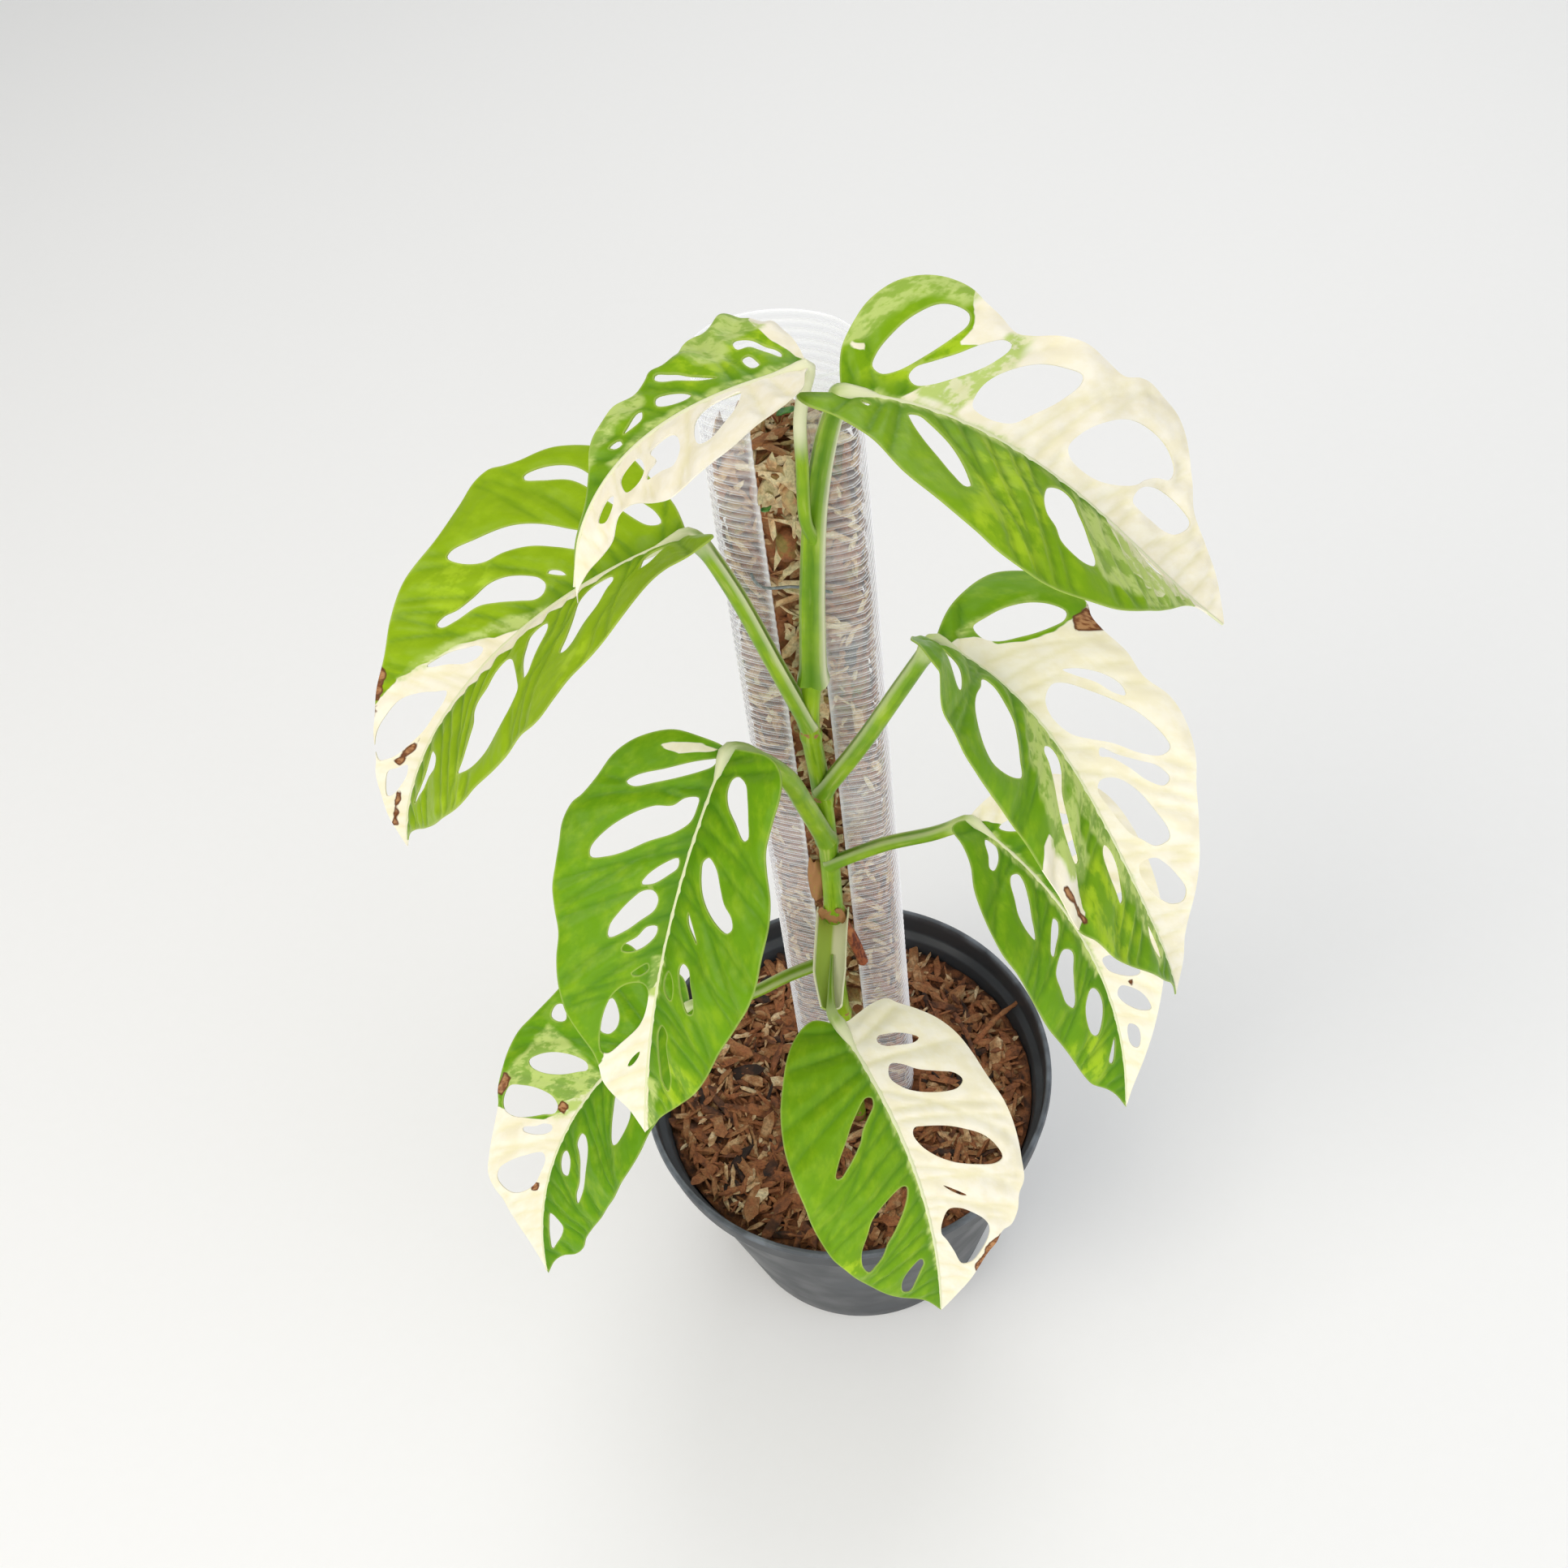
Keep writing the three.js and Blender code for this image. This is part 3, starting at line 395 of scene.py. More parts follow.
def add_node(tree, name, *values, stops=(), **settings):
    """Adds one node with its settings and links, and gives its output."""
    kind, sockets, output, fixed = KINDS[name]
    made = tree.nodes.new(kind)
    for key, setting in {**fixed, **settings}.items():
        setattr(made, key, setting)
    for socket, value in zip(sockets, values):
        fill(made, socket, value)
    for place, shade in stops[2:]:
        made.color_ramp.elements.new(place)
    for element, (place, shade) in zip(made.color_ramp.elements if stops else (), stops):
        element.position = place
        element.color = shade
    return made.outputs[output]


def per(millimetres):
    """The noise scale whose patches are about this size on a vector in metres."""
    return 1 / (millimetres * MM * 1.6)


def new_material(name):
    """An empty material, a function that adds one node to it, and its shader."""
    made = bpy.data.materials.new(name)
    made.use_nodes = True
    return made, partial(add_node, made.node_tree), made.node_tree.nodes["Principled BSDF"]


def finish_shader(add, shader, base, rough, height=None, distance=0.2, strength=0.5, **others):
    """Fills the shader's sockets: colour, roughness, relief, and others by name. Distance is the relief's
    depth in millimetres."""
    sockets = {"Base Color": base, "Roughness": rough, **others}
    if height is not None:
        sockets["Normal"] = add("bump", height, distance * MM, strength)
    for name, value in sockets.items():
        fill(shader, name.replace("_", " "), value)


def pot_plastic(pot):
    """Moulded polypropylene: a dark satin skin, paler in dusty patches and along the lip, where rubbing by
    the hands and shelves that touch it lies mixed with a painted highlight on the rolled lip.
    """
    material, add, shader = new_material("Moulded polypropylene, satin")
    place = add("place")
    height = add("split", place)
    # The top band of the lip is paler: partly rubbed, and partly a painted highlight along the rolled lip,
    # broken up by noise.
    lip = add("range", height, (to_mm(pot.height) - 4.5) * MM, (to_mm(pot.height) - 0.3) * MM)
    rubbed = add("range", add("noise", place, per(9), 5), 0.42, 0.68, 0.25, 1.0)
    dust = add("range", add("noise", place, per(26), 6), 0.5, 0.8, 0.0, 0.28)
    dust_scuffs_and_sheen = add("larger", add("times", lip, rubbed), dust)
    base = add("mix", dust_scuffs_and_sheen, pot.plastic, pot.dust_scuffs_and_sheen)
    # Fine streaks of the mould run up the wall; the real ones are finer, so they are drawn at 1.2 mm.
    squeezed = add("stretch", place, (1, 1, 0.12))
    skin = add("noise", squeezed, per(1.2), 2)
    rough = add("range", add("noise", place, per(14)), 0.3, 0.7, 0.36, 0.52)
    finish_shader(add, shader, base, rough, skin, distance=0.05, strength=0.35, IOR=1.49)
    return material


def bark(name, mix, damp=1.0):
    """Chopped pine bark and coconut husk: each chip has its own shade, with fibres and dark pores."""
    material, add, shader = new_material(name)
    place = add("place")
    tone = add("mark", attribute_name="tone")
    blotch = add("noise", place, per(3.0), 5)
    shade = add("sum", tone, add("range", blotch, 0.3, 0.7, -0.14, 0.14))
    stops = [
        (0.0, linear("#2a1c14")),
        (0.16, mix.dark),
        (0.4, mix.red),
        (0.64, linear("#a9774a")),
        (0.82, mix.tan),
        (1.0, linear("#f0dcb2")),
    ]
    base = add("ramp", shade, stops=stops)
    fibre = add("noise", place, per(0.7), 4, 0.7)
    base = add("mix", add("range", fibre, 0.35, 0.6, 0.42 * damp, 0.0), base, linear("#22140d"))
    moss = add("times", add("mark", attribute_name="moss"), add("range", blotch, 0.45, 0.6))
    base = add("mix", moss, base, linear("#6f7f35"))
    finish_shader(add, shader, base, 0.82, fibre, distance=0.5, strength=0.7)
    return material


def clear_sheet(pole):
    """Thermoformed clear sheet: glossy and colourless, hazy white where it turns edge on. Its rib crests
    and cut edges carry painted highlights, and the hollows between the ribs carry painted shade.

    Scuffs and dew scatter light all through the real sheet, so the eye sees a pale veil over the bark.
    A weak glow stands for the light that the haze passes on from behind.
    """
    material, add, shader = new_material("Thermoformed clear sheet")
    place = add("place")
    rib = add("mark", attribute_name="rib")
    edge = add("mark", attribute_name="edge")
    facing = add("facing", 0.5)
    misted = add("range", add("noise", place, per(22), 4), 0.4, 0.75, 0.0, 0.11)
    veil = add("sum", add("range", facing, 0.46, 0.92, pole.haze, 0.85), misted)
    # Painted highlights: the rib crests and the cut edges are made whiter and more opaque.
    veil = add("sum", veil, add("times", rib, 0.12))
    veil = add("larger", veil, add("times", edge, 0.45))
    # Painted highlight and shade: white on the rib crests and cut edges, a grey-lavender tint in the
    # hollows between the ribs.
    base = add("mix", add("larger", edge, rib), linear("#d6d9e4"), linear("#ffffff"))
    others = {"Alpha": veil, "Emission_Color": linear("#eef0f6"), "Emission_Strength": 0.22, "IOR": 1.5}
    finish_shader(add, shader, base, 0.2, add("noise", place, per(5)), 0.15, 0.25, **others)
    return material


STREAK_LENGTH = 14  # how many times longer than wide the streaks in the green skin are


def green_skin(name, scene):
    """Living green skin of stem and stalks: waxy, with pale streaks along it, pale ridges, dry marks and
    painted shade in the stalks' channels.
    """
    plant, leaf = scene.monstera_stem, scene.monstera_leaf
    material, add, shader = new_material(name)
    uv = add("uv")
    drawn = add("stretch", uv, (1, 1 / STREAK_LENGTH, 1))
    # The UV map is in metres along and round the stem, so the noise keeps its real size.
    streak = add("noise", drawn, per(1.1), 4)
    cloud = add("noise", uv, per(14), 3)
    green = add("mix", add("range", cloud, 0.35, 0.7, 0.0, 0.7), plant.green, leaf.lime)
    base = add("mix", add("range", streak, 0.52, 0.72, 0.0, 0.6), green, plant.pale)
    base = add("mix", add("range", streak, 0.46, 0.3, 0.0, 0.35), base, leaf.deep)
    # This mark paints shade into the channel along a stalk's top.
    base = add("mix", add("mark", attribute_name="deep"), base, leaf.deep)
    base = add("mix", add("mark", attribute_name="lime"), base, leaf.lime)
    base = add("mix", add("mark", attribute_name="pale"), base, linear("#eeecca"))
    ragged = add("range", add("noise", uv, per(1.6), 5), 0.35, 0.65, -0.35, 0.35)
    dry = add("sum", add("mark", attribute_name="dry"), ragged)
    base = add("mix", add("range", dry, 0.45, 0.75), base, plant.scar)
    rough = add("range", dry, 0.4, 0.8, 0.33, 0.8)
    finish_shader(add, shader, base, rough, streak, 0.12, 0.35, IOR=1.42, Specular_IOR_Level=0.2)
    return material


def blade_skin(name, leaf, upper):
    """Leaf skin. Above it is waxy, with a soft shine; below it is paler and matter.

    The green is deepest beside the midrib, and painted shade darkens it in the grooves over the side veins;
    between them it is mottled. The cream half holds no leaf green. Its border follows the marks worked out
    with the mesh, and is drawn out a little along the side veins. In marbled patches both tissues lie
    mixed.
    """
    material, add, shader = new_material(name)
    uv = add("uv")
    streak = add("noise", add("stretch", uv, (1, 0.2, 1)), per(3.2), 2)
    fine = add("noise", add("stretch", uv, (1, 0.55, 1)), per(0.9), 4)
    mottle = add("noise", uv, per(4.5), 4, 0.6)
    cells = add("less", streak, 0.5)

    def patch(mark, reach, low, high):
        """How far a place lies in a patch, 0 to 1, with the patch's rim drawn out along the veins."""
        moved = add("sum", add("mark", attribute_name=mark), add("times", cells, reach))
        return add("range", moved, low, high)

    beside = add("mark", attribute_name="ragged")
    cream = patch("cream", add("times", beside, 3.5), -0.2, 0.2)
    mixed = add("sum", mottle, add("times", add("less", fine, 0.5), 0.45))
    marbled = add("times", patch("marbled", 5.0, -1.2, 1.2), add("range", mixed, 0.4, 0.56, 0.35, 1.0))

    vein = add("mark", attribute_name="vein")
    green = add("mix", add("mark", attribute_name="fresh"), leaf.green, leaf.fresh)
    green = add("mix", add("range", mottle, 0.42, 0.7, 0.0, 0.3), green, leaf.lime)
    thin = add("times", patch("lime", 6.0, -2.5, 2.5), add("range", mottle, 0.42, 0.58, 0.1, 0.8))
    green = add("mix", thin, green, leaf.lime)
    green = add("mix", add("range", streak, 0.5, 0.3, 0.0, 0.1), green, leaf.deep)
    green = add("mix", add("range", beside, 1.0, 0.0, 0.0, 0.4), green, leaf.deep)
    # Painted shade: the grooves over the side veins are darkened towards deep green.
    green = add("mix", add("times", vein, 0.45), green, leaf.deep)
    rim = add("range", add("mark", attribute_name="rim"), 0.7, 0.1, 0.0, 0.32)
    green = add("mix", rim, green, linear("#c3cb7a"))

    ivory = add("mix", add("range", mottle, 0.35, 0.65), leaf.cream, linear("#f4eedb"))
    ivory = add("mix", add("times", vein, 0.35), ivory, linear("#dcd596"))
    base = add("mix", cream, green, ivory)
    base = add("mix", marbled, base, leaf.grey)
    # A dried spot is mottled tan inside and has a dark brown margin.
    dried = add("mix", add("range", fine, 0.4, 0.6), linear("#7d4a2a"), leaf.burnt)
    base = add("mix", patch("burnt", 3.0, -0.3, 0.2), base, linear("#5f3519"))
    base = add("mix", patch("burnt", 3.0, 0.1, 0.9), base, dried)
    if not upper:
        base = add("mix", 0.35, base, linear("#dfe4b8"))
    relief = add("sum", fine, add("times", vein, -0.9 if upper else 0.9))
    rough = add("range", fine, 0.3, 0.7, *((0.32, 0.44) if upper else (0.5, 0.62)))
    shine = 0.2 if upper else 0.12
    finish_shader(add, shader, base, rough, relief, 0.14, 0.45, IOR=1.42, Specular_IOR_Level=shine)
    return material


def coated_wire():
    """Steel wire in a thin grey plastic coat, a little shiny, with small scuffs."""
    material, add, shader = new_material("Plastic-coated steel wire")
    place = add("place")
    scuff = add("range", add("noise", place, per(1.5), 5), 0.5, 0.7, 0.0, 0.7)
    base = add("mix", scuff, linear("#7c8488"), linear("#b4bbbd"))
    finish_shader(add, shader, base, 0.35, add("noise", place, per(0.8)), distance=0.03, strength=0.3)
    return material


def corky_root(plant):
    """Corky aerial root: cinnamon skin with fine rings and lengthwise cracks, darker in its hollow end."""
    material, add, shader = new_material("Corky aerial root")
    place = add("place")
    crack = add("noise", add("stretch", place, (1, 1, 0.3)), per(0.8), 5)
    base = add("mix", add("range", crack, 0.4, 0.6), linear("#6b3018"), plant.root)
    rubbed = add("range", add("noise", place, per(3)), 0.5, 0.7, 0.0, 0.5)
    base = add("mix", rubbed, base, linear("#cf8f55"))
    base = add("mix", add("mark", attribute_name="hollow"), base, linear("#2a140c"))
    finish_shader(add, shader, base, 0.75, crack, distance=0.3, strength=0.7)
    return material


def mottled_skin(name, patches, dark, light, rough, **relief):
    """A thin young skin, mottled between two shades in patches of a given size in millimetres."""
    material, add, shader = new_material(name)
    shade = add("range", add("noise", add("place"), per(patches), 3), 0.35, 0.65)
    base = add("mix", shade, linear(dark), linear(light))
    finish_shader(add, shader, base, rough, shade if relief else None, **relief)
    return material


def studio_paper(stage):
    """Matt backdrop paper, with a tooth too fine to show."""
    material, add, shader = new_material("Matt backdrop paper")
    place = add("place")
    tooth = add("noise", place, per(4), 3)
    base = add("mix", add("range", tooth, 0.3, 0.7, 0.0, 0.06), stage.floor, linear("#ffffff"))
    finish_shader(add, shader, base, 0.9)
    return material


# Blades, laid flat: (distance along the midrib, distance out from it), left of the midrib below zero


def oval(from_along, from_out, to_along, to_out, width):
    """Twelve points round an oval hole that runs from one point to another."""
    middle = np.array([from_along + to_along, from_out + to_out]) / 2
    half = np.array([to_along - from_along, to_out - from_out]) / 2
    across = unit(np.array([-half[1], half[0]])) * width / 2
    turns = np.arange(12)[:, None] * TURN / 12
    return middle + half * np.cos(turns) + across * np.sin(turns)


LEFT_HALF = [(-25, 0), (-25, -60), (170, -60), (170, 0)]

# A leaf's plan, with angles in degrees where nothing else is said:
# stalk, base: the places that the stalk passes through, and where the blade starts, in the frame
# stalk_radii: half the stalk's thickness at the stem and at the blade
# heading, droop: which way the midrib runs, and how steeply down, at its start, its middle and its tip
# roll: how far the blade is turned about its midrib, at both ends
# fold: how far its left and its right half rise from the midrib
# length: how long the midrib is
# left, right, tip, holes: the outline of the flat blade and those of its holes
# cream, marbled, lime, burnt: outlines of the patches on it
# fresh: how light and young its green is, from 0 to 1
# crumple: how high the right half is crumpled, in millimetres
# pale_stalk, pale_neck: how cream the stalk's lines are, and its end at the blade, from 0 to 1
# pale_lines: for each of these lines its angle from the top of the stalk and its width, in radians
# channel: the way that the stalk's channel faces, where that isn't up from the blade
LEAVES = {
    "leaf_top_left": {
        "stalk": [(14, -13.5, 448), (12.5, -17, 458), (13.5, -18, 480), (14.5, -19, 497),
                  (16.5, -18.5, 507)],
        "stalk_radii": (2, 1.8),
        "base": (18, -18, 514),
        "heading": (-155, -147, -97),
        "droop": (-1, 21, 61),
        "roll": (-5, 1),
        "fold": (8, 8),
        "length": 94,
        "pale_stalk": 0.25,
        "pale_neck": 0.9,
        "crumple": 1.3,
        "fresh": 0.5,
        "left": [(0, -1), (2, -4), (5, -11.5), (10, -16), (20, -21.6), (30, -25.6), (40, -27),
                 (50, -27.3), (55, -26), (60, -21.6), (65, -14.7), (70, -11.6), (78, -11.3), (84, -8.4),
                 (90, -4), (96, -1)],
        "right": [(0, 1), (0, 16), (5, 26), (9, 29), (12, 33), (15, 33.5), (19, 30), (24, 29), (28, 27),
                  (31, 22), (35, 20), (38, 20), (40, 18), (45, 17), (50, 16), (55, 14), (60, 11), (65, 6),
                  (72, 2), (84, 0.8)],
        "tip": (99, -1),
        "holes": [
            [(5.5, 6), (8, 9), (12, 13.5), (15.5, 14.5), (16, 17.5), (14.5, 19), (11, 17), (7, 12),
             (5, 8)],
            [(12, 5.5), (14, 5), (15.5, 7.5), (15.5, 10), (13.5, 10.5), (12.3, 8)],
            [(24, 6.5), (28, 8), (33, 12), (38, 16), (37, 17.6), (33, 15), (27, 9)],
            [(32, 4), (34, 3.5), (39, 5), (41, 7), (40, 10), (37, 9), (33, 6)],
            [(45, 8.5), (46, 6), (49, 5.5), (52, 6), (50, 7), (46, 9)],
            [(54, 3.5), (56, 4), (57, 6), (54, 5.5)],
            [(20, -3), (24, -12), (29, -16), (34, -18), (37, -17), (37, -13), (34, -7), (30, -4),
             (24, -3)],
            [(41, -9), (43, -15), (47, -18), (51, -16), (56, -14), (54, -12), (50, -11), (50, -7),
             (46, -6), (42, -6.5)],
            [(53.5, -4.5), (53.5, -9), (56, -11.5), (60, -12), (63, -10.5), (62.5, -7), (61, -5),
             (56, -4.2)],
            [(66, -6.2), (69, -8), (74, -7.5), (75, -5), (71, -4.4), (67, -5)],
        ],
        "cream": [LEFT_HALF, [(0, 2), (3, 8), (7, 18), (9, 28), (5, 28), (-3, 16), (-3, 3)]],
        "marbled": [
            [(-5, 0), (60, 0), (60, 2.5), (-5, 3)],
            [(6, 20), (12, 36), (24, 34), (31, 24), (27, 14), (18, 12), (17, 20)],
            [(43, 11), (43, 20), (64, 14), (66, 7), (56, 8), (51, 10)],
        ],
        "lime": [[(-5, 8), (-5, 20), (31, 20), (31, 8)]],
    },
    "leaf_top_right": {
        "stalk": [(8, -10.4, 384), (9, -11, 398), (11.5, -12, 428), (15.5, -13, 462), (21, -15, 488),
                  (25.5, -19, 503)],
        "stalk_radii": (4.7, 2.6),
        "base": (28, -25, 510),
        "heading": (-6, -2, 5),
        "droop": (0, 45, 47),
        "roll": (-9, -12),
        "fold": (27, 20),
        "length": 139,
        "pale_stalk": 1.0,
        "channel": (-0.1, -1, 0.1),
        "pale_lines": ((-1.26, 0.15), (1.26, 0.4)),
        "fresh": 0.6,
        "left": [(-1, -2), (-2, -12), (0, -19), (3, -26), (8, -32), (14, -35.5), (20, -37), (25, -36.5),
                 (29, -34), (33, -32), (38, -29.5), (42, -31), (48, -34.5), (55, -36.5), (62, -36.5),
                 (69, -36.5), (74, -40), (79, -42), (85, -42), (90, -41), (95, -38), (100, -33.5),
                 (105, -27), (110, -20.5), (120, -16), (130, -10.5), (136, -5)],
        "right": [(-12, 2), (-12, 4), (-8, 8), (0, 12), (10, 20), (20, 30), (30, 37), (40, 43),
                  (46, 45.5), (55, 45.5), (65, 43.5), (75, 41), (85, 37), (93, 32), (100, 26), (110, 17),
                  (120, 7), (128, 1.5)],
        "tip": (140, -0.5),
        "holes": [
            [(6.5, -8), (7, -12), (10, -18), (14, -24), (19, -29), (23, -30), (26, -29), (26.5, -26),
             (24, -21), (19, -14), (13, -8), (9, -6.3)],
            [(16, -7), (17, -10), (21, -13), (26, -17), (31, -22), (36, -26), (38, -26), (38, -24),
             (34, -17), (28, -11), (22, -6.5), (18, -5.2)],
            [(34, -5), (34, -9), (36, -14), (41, -20), (47, -25), (53, -27.5), (58, -28.5), (58.5, -26),
             (55, -18), (50, -11), (46, -6), (41, -4), (36, -4)],
            [(63, -9), (65, -15), (70, -22), (77, -28), (85, -30.3), (93, -29.5), (98, -26), (98, -23),
             (93, -20), (90, -17), (88, -14), (82, -9.5), (75, -6.5), (68, -6), (64.5, -7)],
            [(88.5, -11), (90, -14.5), (94, -17.5), (99, -18.8), (107, -18.3), (111, -17), (111, -15),
             (108, -11), (104, -9.5), (98, -9), (92, -8.6), (89, -9)],
            [(18.3, 5.5), (21, 4.5), (24, 6.5), (29, 11), (33, 17), (36, 23), (37, 27), (35.5, 28.3),
             (32, 25), (28, 20), (23, 14), (19.5, 9)],
            [(59, 13), (60.5, 8.5), (64, 5.2), (67, 4.3), (70, 5.5), (72, 11), (75, 18), (78, 24),
             (77, 27), (73, 29), (69, 28.8), (65, 27), (63, 23), (60, 20.5), (58.8, 17)],
            [(5.5, 3.5), (7, 3.8), (8, 5), (7.5, 6), (6, 5)],
            [(97, 1.6), (104, 1.6), (111, 1.9), (108, 3.6), (103, 4), (99, 2.8)],
        ],
        "cream": [
            [(14, 0), (20, -5), (26, -10), (34, -19), (36, -23), (30, -21), (26, -20), (28, -25),
             (27, -31), (25, -38), (45, -50), (150, -50), (150, 0)],
            [(0, -14.5), (0, -12), (4, -12), (4, -14.5)],
            [(84, -1), (84, 1), (86, 6), (91, 12), (98, 16), (106, 15), (112, 9), (122, 3), (145, 2),
             (145, -2)],
        ],
        "marbled": [
            [(18, -3), (34, -22), (36, -28), (43, -32), (40, -18), (30, -2)],
            [(-4, -13), (-2, -22), (3, -30), (10, -36), (20, -40), (28, -36), (24, -31), (19, -31),
             (12, -27), (7, -20), (3, -14)],
            [(6, -1), (6, 2), (52, 2), (52, -1)],
            [(70, 2), (76, 20), (80, 29), (100, 24), (118, 10), (126, 2)],
        ],
        "lime": [[(38, 2), (38, 42), (60, 42), (60, 2)], [(5, -5), (20, -5), (34, -24), (20, -24)]],
    },
    "leaf_upper_left": {
        "stalk": [(5, -12, 363), (-3, -16, 397), (-12, -20, 434), (-19, -23, 455)],
        "stalk_radii": (3.2, 2.4),
        "base": (-22, -24, 459),
        "heading": (-174, -157, -147),
        "droop": (21, 39, 78),
        "roll": (-3, 17),
        "fold": (22, 26),
        "length": 156,
        "pale_stalk": 0.8,
        "fresh": 1.0,
        "left": [(-2, -3), (-12, -13), (-7, -18), (0, -24), (8, -31), (15, -38), (20, -40.5), (30, -43),
                 (38, -46.5), (45, -51.5), (50, -53.5), (56, -53), (63, -50.5), (72, -47.5), (82, -44.5),
                 (92, -42), (100, -40.5), (108, -37), (120, -29), (131, -20), (142, -9), (150, -3)],
        "right": [(0, 1), (2, 11), (8, 24), (13, 35), (22, 44), (30, 47.5), (40, 49), (45, 51), (50, 54),
                  (55, 54), (61, 50), (70, 44.5), (83, 40), (92, 34), (100, 29), (110, 25), (117, 21),
                  (122, 19), (130, 15), (134, 14), (141, 10), (147, 7), (153, 3)],
        "tip": (158, 0),
        "holes": [
            [(6.5, -4), (8, -9), (11, -14), (13, -14.5), (13.5, -11), (13, -5), (10, -3)],
            [(23.5, -10), (25, -14), (28, -21), (33, -26), (38, -30.5), (42, -31.5), (43.5, -30),
             (41, -25), (38, -18), (35, -9), (33, -6), (28, -4.5), (25, -6)],
            [(49, -11), (51, -18), (54, -25), (56.5, -29.5), (58, -30), (58.5, -25), (58, -16), (57, -9),
             (54, -7.5), (50, -8.3)],
            [(61.5, -32), (65, -34.5), (72, -36), (82, -36), (92, -34.5), (97, -31.5), (100, -28.5),
             (96, -27), (90, -24), (86, -21), (84.5, -17), (82, -15), (77, -13.5), (72, -10.5), (67, -10),
             (64.5, -13), (62.5, -20), (61.5, -27)],
            [(110, -10), (112, -12.3), (117, -11.5), (122, -12), (127, -10), (131, -7.5), (133.5, -5.5),
             (130, -6), (125, -8), (120, -8), (115, -6), (112, -5)],
            [(7, 7), (11, 8), (20, 20), (29, 34), (36, 38), (41, 42), (41, 43.5), (37, 43), (28, 39),
             (22, 30), (12, 17), (8, 11)],
            [(29, 10), (33, 11), (39, 15.5), (46, 20.5), (54, 24), (61, 26), (67, 31), (70, 36.5),
             (68, 37.3), (60, 34.5), (50, 31), (42, 26), (35, 20), (30, 15)],
            [(47, 7), (49, 5), (52, 5), (57, 8), (63, 12), (69, 15.5), (77, 17), (82, 19), (83, 21),
             (80, 21.3), (75, 19.5), (69, 19), (63, 19), (57, 17), (51, 13), (48, 10)],
            [(40, 6), (42.5, 7.5), (45, 10), (44, 10.2), (41, 8)],
            [(75, 4), (78, 3.2), (83, 5), (88, 9.5), (92.5, 13), (93.5, 14.5), (90, 13.5), (85, 11.5),
             (80, 8.5), (76, 6)],
            [(94, 4), (97, 2.9), (103, 3), (110, 3.5), (118, 6), (124.5, 9), (128, 12), (129.5, 14),
             (127, 16.5), (122, 18), (115, 17.5), (108, 16), (101, 11), (97, 7)],
            [(124.5, 3.8), (128, 3), (133, 4), (138, 6), (140, 8), (136, 9.5), (131, 9.8), (128, 7),
             (125.5, 5)],
        ],
        "cream": [
            [(15, 0.5), (25, -1.5), (40, -4), (60, -5.8), (75, -4.5), (90, -2), (105, -0.8), (160, -1.5),
             (160, 0.5)],
            [(60, 0), (70, 4), (80, 11), (92, 15), (103, 20), (118, 24), (140, 16), (170, 8), (170, 0)],
        ],
        "marbled": [
            [(48, 0), (60, 0), (75, 8), (92, 14), (104, 20), (96, 19), (85, 15), (72, 9), (58, 4)],
        ],
        "lime": [
            [(98, -24), (98, -42), (116, -42), (116, -24)],
            [(30, -48), (30, -34), (42, -34), (42, -48)],
            [(60, 18), (60, 35), (80, 35), (80, 18)],
        ],
        "burnt": [
            [(104, 25.5), (104, 28.5), (112, 24.5), (118, 20), (112, 22)],
            [(112, 3.2), (118, 3.7), (127, 6.5), (127, 9), (120, 6.2), (114, 4.2)],
            [(135, 3.5), (150, 3.5), (150, 5), (135, 5)],
        ],
    },
    "leaf_right": {
        "stalk": [(7, -12, 329), (23, -19, 362), (38, -28, 398), (47, -34, 420)],
        "stalk_radii": (3.4, 2.6),
        "base": (50, -35, 426),
        "heading": (-10, -47, -3),
        "droop": (21, 46, 82),
        "roll": (20, -15),
        "fold": (24, 26),
        "length": 146,
        "pale_stalk": 0.5,
        "fresh": 0.35,
        "left": [(0, -1), (0.5, -12), (2, -20), (5, -30), (8, -36), (14, -42), (20, -44), (26, -43),
                 (29, -39.5), (33, -38), (40, -37), (47, -35), (55, -37.5), (65, -36.5), (73, -34),
                 (80, -30), (90, -26), (100, -22), (110, -16.5), (125, -8), (135, -5)],
        "right": [(-1, 1.5), (-4, 6), (-8, 20), (-9, 32), (-4, 45), (4, 51), (12, 52), (29, 51.5),
                  (38, 49), (45, 45), (52, 41), (60, 37.5), (70, 34.5), (80, 33), (92, 32.5), (97, 29),
                  (105, 25), (112, 20), (120, 14), (130, 8), (138, 3)],
        "tip": (148, 0),
        "holes": [
            [(8.3, -11), (10, -17), (13, -24), (17, -30), (21, -33.5), (24, -34.5), (25, -31),
             (23.5, -25), (20, -17), (16, -11), (12, -9)],
            [(33, -17), (36, -22), (41, -26), (46, -27.5), (48.5, -26.5), (46, -24), (41, -22),
             (36, -18.5)],
            [(34, -11), (36, -14.5), (42, -19), (48, -23), (54, -26.5), (61, -28.5), (66.5, -28.5),
             (67, -25), (63.5, -20), (57, -14.5), (52, -9), (48, -5.5), (41, -4), (36, -6)],
            [(56, -10.5), (60.5, -14), (65.5, -19), (69, -22.5), (74, -24), (75, -21.5), (71, -17.5),
             (65, -14.6), (60, -11.5), (58, -9)],
            [(64, -5.5), (66, -10), (72, -13.5), (80, -15.5), (87, -16.5), (90, -15.5), (90, -11),
             (86, -8), (82, -5.5), (74, -3.8), (66, -3.2)],
            [(92.5, -4.2), (93, -9), (96, -11), (102, -13), (108, -13.8), (111.5, -11.5), (110.5, -8),
             (106, -5), (100, -3.3), (95, -3)],
            oval(1, 13, 13, 35, 6.6),
            [(18, 13), (19, 9.5), (22, 8.3), (28, 10.5), (34, 13.5), (39, 19), (44, 24), (48, 27),
